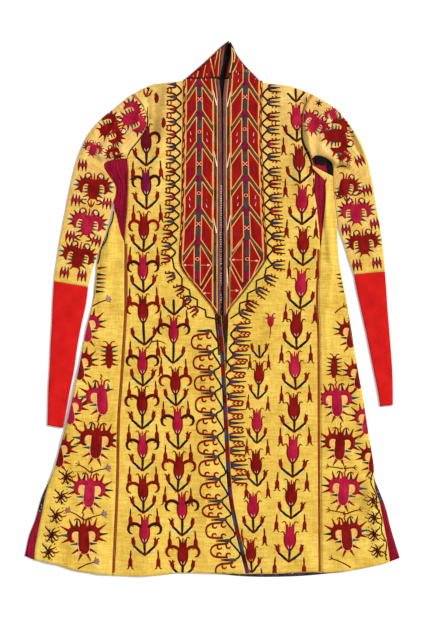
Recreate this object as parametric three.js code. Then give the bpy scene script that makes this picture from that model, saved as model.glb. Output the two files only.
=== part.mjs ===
// A Turkmen chyrpy: an embroidered yellow silk cloak with long false sleeves, lying on its back.
// Millimetres, +Z up, +Y towards the collar. The origin is under the middle of the cloak.
// "Left" and "right" are as seen from above. "across" is measured from the middle of the spread,
// and "down" from the peak of the collar towards the hem.
import * as THREE from "three";

// ---- Driving sizes ----
const LENGTH = 1222;
const SILK_WALL = 1.4;
const LINING_WALL = 1.0;
const STITCH_WALL = 1.0;
const BRAID_WALL = 2.0;
const SEAM_GAP = 0.3;
const LAYER_GAP = 0.4;
const LINING_BASE = SILK_WALL + LAYER_GAP;
const FRONT_BASE = LINING_BASE + LINING_WALL + LAYER_GAP;
const FRONT_TOP = FRONT_BASE + SILK_WALL;
const EDGE_FALL = FRONT_BASE - SILK_WALL - SEAM_GAP;
const EDGE_FALL_WIDTH = 20;
const LAP_RISE = SILK_WALL + LAYER_GAP;
const LAP_START = 560;
const LAP_END = 640;
const LAP_FULL = 36;
const LAP_WIDTH = 84;
const GATHERS = 5;
const GATHER_HEIGHT = 1.1;

// Depths where the cut changes: shoulder line, underarm, point of the gusset, slits and hem.
const SHOULDER = 90;
const UNDERARM = 268;
const GUSSET_POINT = 458;
const SLIT = 985;
const HEM = 1215;
const YOKE_POINT = 627;
const COLLAR_SEAM = 89;

// ---- Reading a table of a line: one column of positions along another ----
function smooth(t) {
  const s = Math.min(1, Math.max(0, t));
  return s * s * (3 - 2 * s);
}

// A smooth curve through the rows; outside the rows it keeps its end values.
function curveThrough(rows, along, value) {
  const slope = rows.map((row, i) => {
    const before = rows[Math.max(0, i - 1)];
    const after = rows[Math.min(rows.length - 1, i + 1)];
    return (after[value] - before[value]) / (after[along] - before[along]);
  });
  return (at) => {
    if (at <= rows[0][along]) return rows[0][value];
    const last = rows.length - 1;
    if (at >= rows[last][along]) return rows[last][value];
    const i = rows.findIndex((row) => row[along] > at) - 1;
    const step = rows[i + 1][along] - rows[i][along];
    const t = (at - rows[i][along]) / step;
    const rise = rows[i + 1][value] - rows[i][value];
    const start = slope[i] * step;
    const end = slope[i + 1] * step;
    const bend = (start - rise) * (1 - t) - (end - rise) * t;
    return rows[i][value] + rise * t + bend * t * (1 - t);
  };
}

const named = (columns, rows) => rows.map((row) => Object.fromEntries(columns.map((c, i) => [c, row[i]])));
const lineDown = (rows) => curveThrough(named(["down", "across"], rows), "down", "across");
const lineAcross = (rows) => curveThrough(named(["across", "down"], rows), "across", "down");

// ---- The cut: edges and seams, each a table of (down, across) or (across, down) ----
const shoulderLine = lineAcross([
  [-185, 123], [-139, 100], [-103, 96], [-67, 91], [-35, 89], [22, 88], [82, 89], [116, 95],
  [157, 100], [193, 108], [227, 121],
]);
const frontHem = lineAcross([
  [-406, 1183], [-374, 1189], [-345, 1197], [-311, 1208], [-233, 1218], [-169, 1220], [-124, 1218],
  [-76, 1213], [111, 1215], [227, 1211], [268, 1212], [323, 1206], [392, 1192], [408, 1186],
]);
const backHem = lineAcross([
  [-428, 1174], [-406, 1183], [-345, 1195], [-295, 1210], [-169, 1217], [-76, 1213], [9, 1215],
  [63, 1220], [120, 1222], [200, 1220], [268, 1214], [323, 1206], [392, 1192], [428, 1179],
]);
const seamLeft = lineDown([
  [123, -185], [139, -167], [153, -156], [169, -150], [185, -149], [201, -153], [226, -169],
  [249, -188], [267, -194], [300, -192], [378, -194], [458, -200], [591, -200], [764, -210],
  [860, -217], [1012, -220], [1215, -229],
]);
const seamRight = lineDown([
  [121, 227], [141, 216], [157, 209], [185, 207], [226, 208], [264, 225], [306, 234], [335, 232],
  [390, 240], [477, 246], [591, 243], [670, 246], [910, 247], [1211, 249],
]);
const openingLeft = lineDown([
  [89, 16], [135, 21], [591, 22], [629, 21], [693, 27], [819, 34], [933, 40], [1035, 47],
  [1110, 61], [1172, 76], [1215, 87],
]);
const openingRight = lineDown([[89, 28], [135, 24], [636, 24], [693, 22], [819, 18], [1215, 18]]);
const braidSideLeft = lineDown([[89, 8], [135, 13], [629, 13], [693, 18], [933, 30], [1215, 76]]);
const braidSideRight = lineDown([[89, 35], [135, 31], [629, 31], [819, 29], [1215, 29]]);
const yokeSideLeft = lineDown([
  [89, -66], [271, -69], [420, -72], [500, -76], [524, -68], [572, -30], [624, 7], [660, -6],
  [693, -12], [819, -17], [1215, -17],
]);
const yokeSideRight = lineDown([
  [89, 115], [203, 113], [294, 116], [397, 120], [495, 125], [516, 114], [568, 77], [624, 37],
  [660, 52], [693, 58], [819, 63], [1215, 86],
]);
const gussetSideLeft = lineDown([
  [272, -238], [283, -243], [299, -234], [324, -216], [335, -214], [369, -225], [406, -216],
  [438, -209], [458, -200.6],
]);
const gussetSideRight = lineDown([
  [262, 245], [280, 254], [299, 262], [308, 258], [360, 258], [406, 254], [451, 249], [470, 246.6],
]);
const goreSeamLeft = (down) => Math.min(gussetSideLeft(down), seamLeft(down));
const goreSeamRight = (down) => (down < 470 ? gussetSideRight(down) : seamRight(down));
const sideLeft = lineDown([
  [372, -223], [405, -230], [431, -238], [455, -246], [480, -257], [505, -263], [540, -266],
  [580, -269], [600, -273], [655, -287], [727, -301], [782, -312], [891, -337], [928, -348],
  [971, -359], [1021, -377], [1062, -386], [1154, -404], [1183, -406],
]);
const sideRight = lineDown([
  [306, 270], [335, 273], [401, 277], [445, 281], [508, 286], [560, 298], [620, 311], [670, 317],
  [720, 327], [764, 335], [819, 345], [860, 351], [910, 359], [964, 368], [1015, 370], [1051, 381],
  [1092, 389], [1145, 399], [1186, 405],
]);
const backSideLeft = lineDown([
  [372, -223], [405, -230], [431, -238], [480, -257], [540, -266], [600, -273], [655, -287], [782, -312],
  [891, -337], [971, -359], [1001, -371], [1037, -388], [1092, -404], [1129, -418], [1176, -428],
]);
const backSideRight = lineDown([
  [306, 270], [401, 277], [508, 286], [620, 311], [720, 327], [819, 345], [910, 359], [996, 370],
  [1028, 382], [1062, 395], [1113, 408], [1179, 428],
]);
const collarOuterLeft = lineDown([[0, 37], [14, 20], [34, -1], [59, -28], [80, -53], [89, -64]]);
const collarInnerLeft = lineDown([[0, 39], [16, 32], [34, 27], [55, 24], [89, 16]]);
const collarInnerRight = lineDown([[3, 40.6], [16, 43], [34, 42], [55, 36], [89, 29]]);
const collarOuterRight = lineDown([[3, 42.6], [36, 59], [64, 82], [89, 110]]);
const neckLensLeft = lineDown([[12, 26], [34, 14], [140, 12]]);
const neckLensRight = lineDown([[12, 48], [34, 54], [140, 36]]);
const underarmLeft = lineDown([[270, 244], [310, 247]]);
const underarmRight = lineDown([[270, 256], [282, 268], [298, 270], [310, 268]]);

// ---- The largest folds: soft ridges (or troughs, with a negative height) of the upper layer ----
const folds = named(
  ["name", "fromAcross", "fromDown", "toAcross", "toDown", "width", "height"],
  [
    ["right armhole hood", 246, 250, 318, 280, 17, 8],
    ["right sleeve below the hood", 286, 306, 322, 316, 12, -1.0],
    ["right sleeve head", 306, 176, 356, 268, 16, 4],
    ["right sleeve crease", 300, 196, 334, 250, 9, -1.2],
    ["left armhole lip", -252, 262, -200, 254, 15, 5],
    ["left sleeve head", -190, 146, -282, 236, 24, 3],
    ["left elbow", -322, 360, -246, 382, 20, 2.5],
    ["left shoulder", -128, 112, -142, 190, 18, 3],
    ["right shoulder", 168, 112, 192, 182, 18, 3],
    ["right gore top", 262, 420, 270, 520, 10, 3.5],
    ["right gore middle", 262, 545, 252, 670, 14, 2.5],
    ["right gore edge", 330, 790, 352, 930, 14, 3],
    ["right slit curl", 352, 1010, 386, 1160, 16, 4],
    ["left gore top", -232, 460, -250, 590, 12, 3],
    ["left gore edge", -300, 760, -332, 920, 14, 3],
    ["left hem corner", -352, 1090, -372, 1182, 16, 4],
    ["left hem ripple", -272, 1110, -252, 1205, 20, 4],
    ["left hem swell", -150, 1130, -160, 1214, 26, 3],
    ["left lap swell", -14, 880, -12, 1180, 16, 2.5],
    ["right hem swell", 150, 1110, 140, 1208, 26, 3],
    ["right hem ripple", 292, 1120, 300, 1200, 20, 3.5],
    ["left collar edge", 33, 20, 14, 80, 12, 4],
    ["right collar edge", 46, 22, 38, 80, 12, 4],
  ],
);

function foldHeight(across, down) {
  let height = 0;
  for (const fold of folds) {
    const runAcross = fold.toAcross - fold.fromAcross;
    const runDown = fold.toDown - fold.fromDown;
    const run = Math.hypot(runAcross, runDown);
    const dx = across - fold.fromAcross;
    const dy = down - fold.fromDown;
    const along = (dx * runAcross + dy * runDown) / run;
    const aside = Math.abs(dx * runDown - dy * runAcross) / run;
    const past = Math.max(0, -along, along - run);
    const reach = Math.hypot(aside, past) / (fold.width * 1.6);
    if (reach < 1) height += fold.height * Math.cos((reach * Math.PI) / 2) ** 2;
  }
  return height;
}

// ---- Where a row of a body panel lies: it follows the shoulder at the top and the hem below ----
function depthOf(nominal, across, hem) {
  if (nominal < UNDERARM) {
    const top = shoulderLine(across);
    return top + ((nominal - SHOULDER) / (UNDERARM - SHOULDER)) * (UNDERARM - top);
  }
  if (nominal > SLIT) {
    return SLIT + ((nominal - SLIT) / (HEM - SLIT)) * (hem(across) - SLIT);
  }
  return nominal;
}

const SETTLING_STEPS = 8;
function pointOn(line, nominal, hem) {
  let across = line(nominal);
  for (let i = 0; i < SETTLING_STEPS; i++) across = line(depthOf(nominal, across, hem));
  return across;
}

// Neighbours share the straight stretches of a seam between the common rows of their layer.
function seamAt(line, nominal, hem, common) {
  const next = common.findIndex((row) => row >= nominal);
  if (common[next] === nominal) return pointOn(line, nominal, hem);
  const above = pointOn(line, common[next - 1], hem);
  const below = pointOn(line, common[next], hem);
  const t = (nominal - common[next - 1]) / (common[next] - common[next - 1]);
  return above + (below - above) * t;
}

function stations(from, to, count) {
  return Array.from({ length: count + 1 }, (_, i) => from + ((to - from) * i) / count);
}

const joinStations = (...parts) => parts.flatMap((part, i) => (i ? part.slice(1) : part));
const armholeRows = stations(SHOULDER, UNDERARM, 8);
const gussetRows = stations(UNDERARM, GUSSET_POINT, 8);
const skirtRows = stations(GUSSET_POINT, SLIT, 19);
const hemRows = stations(SLIT, HEM, 8);
const bodyRows = joinStations(armholeRows, gussetRows, skirtRows, hemRows);
const backSkirtRows = stations(GUSSET_POINT, SLIT, 8);
const backRows = joinStations(armholeRows, gussetRows, backSkirtRows, stations(SLIT, HEM, 4));

// ---- Solids ----
// A grid holds rows of points { across, down, top }; a panel is the wall under it.
const toPoint = (p, z) => [p.across, LENGTH / 2 - p.down, z];

function closedSolid(points, triangles) {
  let volume = 0;
  for (const [a, b, c] of triangles) {
    const [ax, ay, az] = points[a];
    const [bx, by, bz] = points[b];
    const [cx, cy, cz] = points[c];
    volume += ax * (by * cz - bz * cy) + ay * (bz * cx - bx * cz) + az * (bx * cy - by * cx);
  }
  const faces = volume < 0 ? triangles.map(([a, b, c]) => [a, c, b]) : triangles;
  const geometry = new THREE.BufferGeometry();
  geometry.setAttribute("position", new THREE.Float32BufferAttribute(points.flat(), 3));
  geometry.setIndex(faces.flat());
  geometry.computeVertexNormals();
  return geometry;
}

function wallUnder(grid, wall) {
  const rows = grid.length;
  const columns = grid[0].length;
  const under = rows * columns;
  const points = [];
  for (const row of grid) for (const p of row) points.push(toPoint(p, p.top));
  for (const row of grid) for (const p of row) points.push(toPoint(p, p.top - wall));
  const at = (r, c) => r * columns + c;
  const triangles = [];
  for (let r = 0; r + 1 < rows; r++) {
    for (let c = 0; c + 1 < columns; c++) {
      const [a, b, d, e] = [at(r, c), at(r, c + 1), at(r + 1, c), at(r + 1, c + 1)];
      triangles.push([a, d, e], [a, e, b]);
      triangles.push([under + a, under + e, under + d], [under + a, under + b, under + e]);
    }
  }
  const rim = [];
  for (let r = 0; r + 1 < rows; r++) rim.push(at(r, 0));
  for (let c = 0; c + 1 < columns; c++) rim.push(at(rows - 1, c));
  for (let r = rows - 1; r > 0; r--) rim.push(at(r, columns - 1));
  for (let c = columns - 1; c > 0; c--) rim.push(at(0, c));
  rim.forEach((p, i) => {
    const q = rim[(i + 1) % rim.length];
    triangles.push([p, under + p, under + q], [p, under + q, q]);
  });
  return closedSolid(points, triangles);
}

// Rows of a panel between edge lines, with so many cells between each pair of lines.
function panelGrid({ rows, lines, cells, hem = frontHem, top, free = false }) {
  const half = SEAM_GAP / 2;
  const common = hem === backHem ? backRows : bodyRows;
  const edgeAt = (line, nominal) => (free ? line(nominal) : seamAt(line, nominal, hem, common));
  return rows.map((nominal) => {
    const edges = lines.map((line) => edgeAt(line, nominal));
    edges[0] += half;
    edges[edges.length - 1] -= half;
    const row = [];
    for (let band = 0; band + 1 < edges.length; band++) {
      for (let cell = band ? 1 : 0; cell <= cells[band]; cell++) {
        const across = edges[band] + ((edges[band + 1] - edges[band]) * cell) / cells[band];
        const down = free ? nominal : depthOf(nominal, across, hem);
        const place = { across, down, left: edges[0], right: edges[edges.length - 1] };
        row.push({ across, down, top: top(place) });
      }
    }
    return row;
  });
}

const flatTop = (height) => () => height;
const fallAt = (distance) => EDGE_FALL * (1 - smooth(distance / EDGE_FALL_WIDTH));

// The fronts fall to the back along the shoulder fold, but not under the collar.
function frontTop({ across, down }) {
  const besideNeck = across < -75 || across > 124 ? 1 : 0;
  return FRONT_TOP - besideNeck * fallAt(down - shoulderLine(across)) + foldHeight(across, down);
}

// The left front climbs over the edge of the right front below the breast panels.
function lappedTop(place) {
  const hidden = openingRight(place.down);
  const climb = smooth((place.across - (hidden - LAP_WIDTH)) / (LAP_WIDTH - LAP_FULL));
  const started = smooth((place.down - LAP_START) / (LAP_END - LAP_START));
  return frontTop(place) + LAP_RISE * climb * started;
}

// A front gore falls to the back along its side seam, between the underarm and the slit.
const UNDERARM_CLEAR = 318;
const SLIT_CLEAR = SLIT - 12;
const goreFall = (p, distance) =>
  fallAt(distance) * smooth((p.down - UNDERARM_CLEAR) / 30) * smooth((SLIT_CLEAR - p.down) / 45);
const goreTop = (p, distance) => FRONT_TOP - goreFall(p, distance) + foldHeight(p.across, p.down);
const goreLeftTop = (p) => goreTop(p, p.across - p.left);
const goreRightTop = (p) => goreTop(p, p.right - p.across);

// Gathers run down the gusset and meet at its point.
function gatheredTop(p) {
  const u = (p.across - p.left) / (p.right - p.left);
  const fade = smooth((p.right - p.left) / 30);
  return FRONT_TOP + GATHER_HEIGHT * fade * (0.5 - 0.5 * Math.cos(2 * Math.PI * GATHERS * u));
}

// ---- Tubes that lie flat: sleeves and cuffs ----
const TUBE_CELLS = 8;
const TUBE_TOP = FRONT_TOP;
const EDGE_HIGH = 0.68;
const EDGE_LOW = 0.32;

// One section is a row of plan points from the outer edge to the inner one. It becomes an outer
// ring, and an inner ring one wall inside it.
function tubeRings(section) {
  const n = section.length - 1;
  const first = section[0];
  const last = section[n];
  const width = Math.hypot(last.across - first.across, last.down - first.down);
  const inset = SILK_WALL / width;
  const outer = [];
  const inner = [];
  const shifted = (i) => {
    const toward = i === 0 ? 1 : i === n ? -1 : 0;
    const p = section[i];
    return {
      across: p.across + toward * inset * (last.across - first.across),
      down: p.down + toward * inset * (last.down - first.down),
    };
  };
  const middle = TUBE_TOP / 2;
  for (let i = 0; i <= n; i++) {
    const atEdge = i === 0 || i === n;
    const crown = TUBE_TOP + foldHeight(section[i].across, section[i].down);
    outer.push(toPoint(section[i], atEdge ? TUBE_TOP * EDGE_HIGH : crown));
    inner.push(toPoint(shifted(i), atEdge ? middle + SEAM_GAP : crown - SILK_WALL));
  }
  for (let i = n; i >= 0; i--) {
    const atEdge = i === 0 || i === n;
    outer.push(toPoint(section[i], atEdge ? TUBE_TOP * EDGE_LOW : 0));
    inner.push(toPoint(shifted(i), atEdge ? middle - SEAM_GAP : SILK_WALL));
  }
  return { outer, inner };
}

function flatTube(sections) {
  const rings = sections.map(tubeRings);
  const size = rings[0].outer.length;
  const inside = rings.length * size;
  const points = [...rings.flatMap((ring) => ring.outer), ...rings.flatMap((ring) => ring.inner)];
  const triangles = [];
  const quad = (a, b, c, d) => triangles.push([a, b, c], [a, c, d]);
  for (let i = 0; i < size; i++) {
    const j = (i + 1) % size;
    for (let s = 0; s + 1 < rings.length; s++) {
      const here = s * size;
      const next = here + size;
      quad(here + i, here + j, next + j, next + i);
      quad(inside + here + j, inside + here + i, inside + next + i, inside + next + j);
    }
    const end = (rings.length - 1) * size;
    quad(j, i, inside + i, inside + j);
    quad(end + i, end + j, inside + end + j, inside + end + i);
  }
  return closedSolid(points, triangles);
}

const sectionColumns = ["outerAcross", "outerDown", "innerAcross", "innerDown"];
const sleeveLeftSections = named(sectionColumns, [
  [-206, 139, -206, 268], [-226, 156, -221, 270], [-247, 172, -237, 273], [-267, 192, -246, 279],
  [-284, 215, -247, 287], [-298, 243, -242, 297], [-309, 272, -231, 312], [-318, 306, -220, 330],
  [-327, 348, -220, 352], [-335, 390, -229, 376], [-343, 430, -235, 408], [-350, 470, -245, 442],
  [-355, 505, -259, 480], [-359, 530, -273, 520], [-361, 547.2, -283, 561],
]);
const sleeveRightSections = named(sectionColumns, [
  [243, 130, 236, 261], [259, 139, 248, 262], [275, 149, 259, 266], [291, 163, 268, 272],
  [307, 182, 274, 280], [322, 203, 276, 292], [336, 226, 276, 306], [347, 251, 276, 322],
  [356, 280, 277, 340], [364, 318, 280, 366], [371, 358, 284, 396], [379, 402, 290, 432],
  [386, 446, 302, 468], [391, 488, 313, 504], [394, 525.2, 323, 532],
]);
const cuffLeftSections = named(sectionColumns, [
  [-361, 547.7, -283, 561.5], [-364, 595, -288, 600], [-366, 645, -299, 650], [-369, 695, -308, 700],
  [-371, 745, -315, 750], [-374, 795, -325, 800], [-375, 840, -333, 845], [-376, 876, -340, 882],
]);
const cuffRightSections = named(sectionColumns, [
  [394, 525.7, 323, 532.5], [397, 565, 330, 570], [400, 610, 340, 615], [404, 660, 351, 665],
  [408, 710, 361, 715], [411, 755, 370, 760], [412, 795, 378, 800], [412, 830, 383, 833],
]);

const straightSection = (s) =>
  Array.from({ length: TUBE_CELLS + 1 }, (_, i) => ({
    across: s.outerAcross + ((s.innerAcross - s.outerAcross) * i) / TUBE_CELLS,
    down: s.outerDown + ((s.innerDown - s.outerDown) * i) / TUBE_CELLS,
  }));

// The first section of a sleeve is the armhole seam itself; its bow fades out along the sleeve.
const BOW_SECTIONS = 5;
function sleeveSections(table, seam, side) {
  const armhole = armholeRows.map((nominal) => {
    const across = pointOn(seam, nominal, frontHem);
    return { across: across + side * SEAM_GAP, down: depthOf(nominal, across, frontHem) };
  });
  const start = armhole[0];
  const end = armhole[TUBE_CELLS];
  const chord = (i) => ({
    across: start.across + ((end.across - start.across) * i) / TUBE_CELLS,
    down: start.down + ((end.down - start.down) * i) / TUBE_CELLS,
  });
  const rest = table.map((row, s) => {
    const share = (1 - smooth((s + 1) / BOW_SECTIONS)) * 0.8;
    return straightSection(row).map((p, i) => ({
      across: p.across + share * (armhole[i].across - chord(i).across),
      down: p.down + share * (armhole[i].down - chord(i).down),
    }));
  });
  return [armhole, ...rest];
}

// ---- Panels of the cloak ----
const backTop = flatTop(SILK_WALL);
const liningTop = flatTop(LINING_BASE + LINING_WALL);
const rowsBetween = (rows, from, to) => rows.filter((d) => d > from + 1 && d < to - 1);
const rowsFrom = (rows, from, to) => [from, ...rowsBetween(rows, from, to), to];
const liftGrid = (grid, rise) => grid.map((row) => row.map((p) => ({ ...p, top: p.top + rise })));

const frontLeftGrid = panelGrid({
  rows: bodyRows,
  lines: [seamLeft, yokeSideLeft, braidSideLeft, openingLeft],
  cells: [6, 4, 1],
  top: lappedTop,
});
const frontRightGrid = panelGrid({
  rows: bodyRows,
  lines: [openingRight, braidSideRight, yokeSideRight, seamRight],
  cells: [1, 4, 6],
  top: frontTop,
});

// A strip on a front is made of the front's own points between two of its columns, moved out.
const yokeRowCount = bodyRows.filter((d) => d <= YOKE_POINT).length;
const onFront = (grid, from, to, rise) =>
  liftGrid(grid.slice(0, yokeRowCount).map((row) => row.slice(from, to + 1)), rise);
const narrowed = (grid, left, right) =>
  grid.map((row) =>
    row.map((p, i) => {
      const inset = i === 0 ? left : i === row.length - 1 ? -right : 0;
      return { ...p, across: p.across + inset };
    }),
  );

const yokeRise = SEAM_GAP + STITCH_WALL;
const braidRise = SEAM_GAP + BRAID_WALL;
const yokeLeft = narrowed(onFront(frontLeftGrid, 6, 10, yokeRise), 0, SEAM_GAP);
const yokeRight = narrowed(onFront(frontRightGrid, 1, 5, yokeRise), SEAM_GAP, 0);
const braidLeft = onFront(frontLeftGrid, 10, 11, braidRise);
const braidRight = onFront(frontRightGrid, 0, 1, braidRise);

const collarWall = SILK_WALL + SEAM_GAP + STITCH_WALL;
const collarTop = ({ across, down }) => FRONT_BASE + collarWall + foldHeight(across, down);
const collarRowsLeft = stations(0, COLLAR_SEAM - 2.5, 7);
const collarRowsRight = stations(3, COLLAR_SEAM - 2.5, 7);
const collarBackLeft = (down) => collarOuterLeft(down) + 0.6;
const collarBackRight = (down) => collarOuterRight(down) - 0.6;

const YELLOW = 0xe2b84a;
const CRIMSON = 0xa8161a;
const MAGENTA = 0x9c1450;
const SCARLET = 0xe0201b;
const BRAID_BROWN = 0x8a5a5a;
const LINING_DARK = 0x2b2f33;

const pieces = [
  ["back_body", YELLOW, wallUnder(
    panelGrid({ rows: backRows, lines: [seamLeft, seamRight], cells: [8], hem: backHem, top: backTop }),
    SILK_WALL)],
  ["back_gore_left", YELLOW, wallUnder(
    panelGrid({
      rows: rowsFrom(backRows, 370.6, HEM), lines: [backSideLeft, seamLeft], cells: [3],
      hem: backHem, top: backTop,
    }), SILK_WALL)],
  ["back_gore_right", YELLOW, wallUnder(
    panelGrid({
      rows: rowsFrom(backRows, 306, HEM), lines: [seamRight, backSideRight], cells: [3],
      hem: backHem, top: backTop,
    }), SILK_WALL)],
  ["gusset_back_left", MAGENTA, wallUnder(
    panelGrid({
      rows: rowsFrom(backRows, 276, 370), lines: [gussetSideLeft, seamLeft], cells: [2],
      hem: backHem, top: backTop,
    }), SILK_WALL)],
  ["gusset_back_right", MAGENTA, wallUnder(
    panelGrid({
      rows: rowsFrom(backRows, UNDERARM + 0.5, 304), lines: [seamRight, underarmRight], cells: [2],
      hem: backHem, top: backTop,
    }), SILK_WALL)],
  ["collar_back", CRIMSON, wallUnder(
    panelGrid({
      rows: stations(3, 82, 6), lines: [collarBackLeft, collarBackRight], cells: [4], free: true,
      top: backTop,
    }), SILK_WALL)],
  ["lining_neck", LINING_DARK, wallUnder(
    panelGrid({
      rows: stations(12, 140, 6), lines: [neckLensLeft, neckLensRight], cells: [1], free: true,
      top: liningTop,
    }), LINING_WALL)],
  ["lining_underarm_right", LINING_DARK, wallUnder(
    panelGrid({
      rows: stations(270, 310, 4), lines: [underarmLeft, underarmRight], cells: [1], free: true,
      top: liningTop,
    }), LINING_WALL)],
  ["lining_hem", LINING_DARK, wallUnder(
    panelGrid({
      rows: stations(1185, HEM - 0.6, 2), lines: [() => 20, () => 275], cells: [10], hem: backHem,
      top: liningTop,
    }), LINING_WALL)],
  ["facing_slit_left", MAGENTA, wallUnder(
    panelGrid({
      rows: stations(SLIT, HEM - 0.6, 7),
      lines: [(d) => backSideLeft(d) + 0.6, (d) => backSideLeft(d) + 40], cells: [1], hem: backHem,
      top: liningTop,
    }), LINING_WALL)],
  ["facing_slit_right", MAGENTA, wallUnder(
    panelGrid({
      rows: stations(SLIT, HEM - 0.6, 7),
      lines: [(d) => backSideRight(d) - 40, (d) => backSideRight(d) - 0.6], cells: [1], hem: backHem,
      top: liningTop,
    }), LINING_WALL)],
  ["front_left", YELLOW, wallUnder(frontLeftGrid, SILK_WALL)],
  ["front_right", YELLOW, wallUnder(frontRightGrid, SILK_WALL)],
  ["front_gore_left", YELLOW, wallUnder(
    panelGrid({
      rows: rowsFrom(bodyRows, 378, HEM),
      lines: [sideLeft, goreSeamLeft],
      cells: [5], top: goreLeftTop,
    }), SILK_WALL)],
  ["front_gore_right", YELLOW, wallUnder(
    panelGrid({
      rows: rowsFrom(bodyRows, 308, HEM),
      lines: [goreSeamRight, sideRight],
      cells: [5], top: goreRightTop,
    }), SILK_WALL)],
  ["gusset_left", MAGENTA, wallUnder(
    panelGrid({
      rows: rowsFrom(bodyRows, 276, GUSSET_POINT - 6), lines: [gussetSideLeft, seamLeft],
      cells: [4 * GATHERS], top: gatheredTop,
    }), SILK_WALL)],
  ["gusset_right", MAGENTA, wallUnder(
    panelGrid({
      rows: rowsFrom(bodyRows, UNDERARM + 0.5, 452), lines: [seamRight, gussetSideRight],
      cells: [4 * GATHERS], top: gatheredTop,
    }), SILK_WALL)],
  ["sleeve_left", YELLOW, flatTube(sleeveSections(sleeveLeftSections, seamLeft, -1))],
  ["sleeve_right", YELLOW, flatTube(sleeveSections(sleeveRightSections, seamRight, 1))],
  ["cuff_left", SCARLET, flatTube(cuffLeftSections.map(straightSection))],
  ["cuff_right", SCARLET, flatTube(cuffRightSections.map(straightSection))],
  ["yoke_left", CRIMSON, wallUnder(yokeLeft, STITCH_WALL)],
  ["yoke_right", CRIMSON, wallUnder(yokeRight, STITCH_WALL)],
  ["braid_left", BRAID_BROWN, wallUnder(braidLeft, BRAID_WALL)],
  ["braid_right", BRAID_BROWN, wallUnder(braidRight, BRAID_WALL)],
  ["collar_left", CRIMSON, wallUnder(
    panelGrid({
      rows: collarRowsLeft, lines: [collarOuterLeft, collarInnerLeft], cells: [4], free: true,
      top: collarTop,
    }), collarWall)],
  ["collar_right", CRIMSON, wallUnder(
    panelGrid({
      rows: collarRowsRight, lines: [collarInnerRight, collarOuterRight], cells: [4], free: true,
      top: collarTop,
    }), collarWall)],
];

const cloak = new THREE.Group();
cloak.name = "chyrpy";
for (const [name, color, geometry] of pieces) {
  const material = new THREE.MeshStandardMaterial({ color, roughness: 0.8, metalness: 0 });
  const piece = new THREE.Mesh(geometry, material);
  piece.name = name;
  cloak.add(piece);
}

export default cloak;
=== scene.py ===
# %% [markdown]
# # A Turkmen chyrpy, laid flat
# A chyrpy is a silk cloak whose long sleeves are only for show. It is cut from straight widths of
# cloth with flared gores at the sides, lined, and covered in lacing stitch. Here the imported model
# gives the frame: every cloth node is replaced by a finer shell of the same cut, and the
# embroidery is laid on it as raised thread shapes. All sizes are millimetres until the mesh is
# made, where they turn into metres.

import math
import random

import bpy
import numpy as np
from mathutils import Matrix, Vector, noise
from mathutils.bvhtree import BVHTree
from mathutils.geometry import delaunay_2d_cdt


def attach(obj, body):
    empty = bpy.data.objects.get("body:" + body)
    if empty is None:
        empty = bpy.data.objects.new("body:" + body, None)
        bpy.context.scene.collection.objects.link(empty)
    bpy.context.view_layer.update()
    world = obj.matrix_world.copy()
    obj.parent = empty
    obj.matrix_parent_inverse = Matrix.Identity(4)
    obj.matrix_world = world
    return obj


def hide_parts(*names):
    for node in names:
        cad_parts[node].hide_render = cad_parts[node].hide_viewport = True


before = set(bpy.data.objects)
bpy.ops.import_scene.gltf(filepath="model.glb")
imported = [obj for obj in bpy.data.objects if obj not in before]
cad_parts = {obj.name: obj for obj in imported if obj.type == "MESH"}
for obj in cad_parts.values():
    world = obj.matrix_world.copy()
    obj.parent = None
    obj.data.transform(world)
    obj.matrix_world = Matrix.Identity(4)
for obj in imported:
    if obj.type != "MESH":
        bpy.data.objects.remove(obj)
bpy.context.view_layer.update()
MM = 0.001
rng = random.Random(7)
print("nodes to dress:", len(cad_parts))

# %% [markdown]
# ## The cut
# A tailor keeps a cut as a few distances. Each seam or edge below is a table of rows: how far
# down from the collar's peak, and how far across from the middle. A smooth curve runs through
# the rows, so that a panel can be as fine as the finish needs.

# %% Driving sizes
LENGTH = 1222.0
SILK_WALL = 1.4
LINING_WALL = 1.0
STITCH_WALL = 1.0
BRAID_WALL = 2.0
SEAM_GAP = 0.3
LAYER_GAP = 0.4
LINING_BASE = SILK_WALL + LAYER_GAP
FRONT_BASE = LINING_BASE + LINING_WALL + LAYER_GAP
FRONT_TOP = FRONT_BASE + SILK_WALL
EDGE_FALL = FRONT_BASE - SILK_WALL - SEAM_GAP
SHOULDER, UNDERARM, GUSSET_POINT, SLIT, HEM = 90.0, 268.0, 458.0, 985.0, 1215.0
YOKE_POINT, COLLAR_SEAM = 627.0, 89.0
EDGE_FALL_WIDTH = 20.0
LAP_START, LAP_END, LAP_FULL, LAP_WIDTH = 560, 640, 36, 84
UNDERARM_CLEAR = 318
GATHERS_LEFT, GATHERS_RIGHT = 8, 3


def smooth(t):
    s = np.clip(t, 0.0, 1.0)
    return s * s * (3 - 2 * s)


def line(*rows):
    """A smooth line through (station, place) rows; outside them it keeps its end values."""
    at = np.array([row[0] for row in rows], float)
    place = np.array([row[1] for row in rows], float)
    last = len(rows) - 1
    after = np.minimum(np.arange(last + 1) + 1, last)
    before = np.maximum(np.arange(last + 1) - 1, 0)
    slope = (place[after] - place[before]) / (at[after] - at[before])

    def read(station):
        x = np.clip(np.asarray(station, float), at[0], at[-1])
        i = np.clip(np.searchsorted(at, x, side="right") - 1, 0, last - 1)
        step = at[i + 1] - at[i]
        t = (x - at[i]) / step
        rise = place[i + 1] - place[i]
        bend = (slope[i] * step - rise) * (1 - t) - (slope[i + 1] * step - rise) * t
        return place[i] + rise * t + bend * t * (1 - t)

    return read


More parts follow.
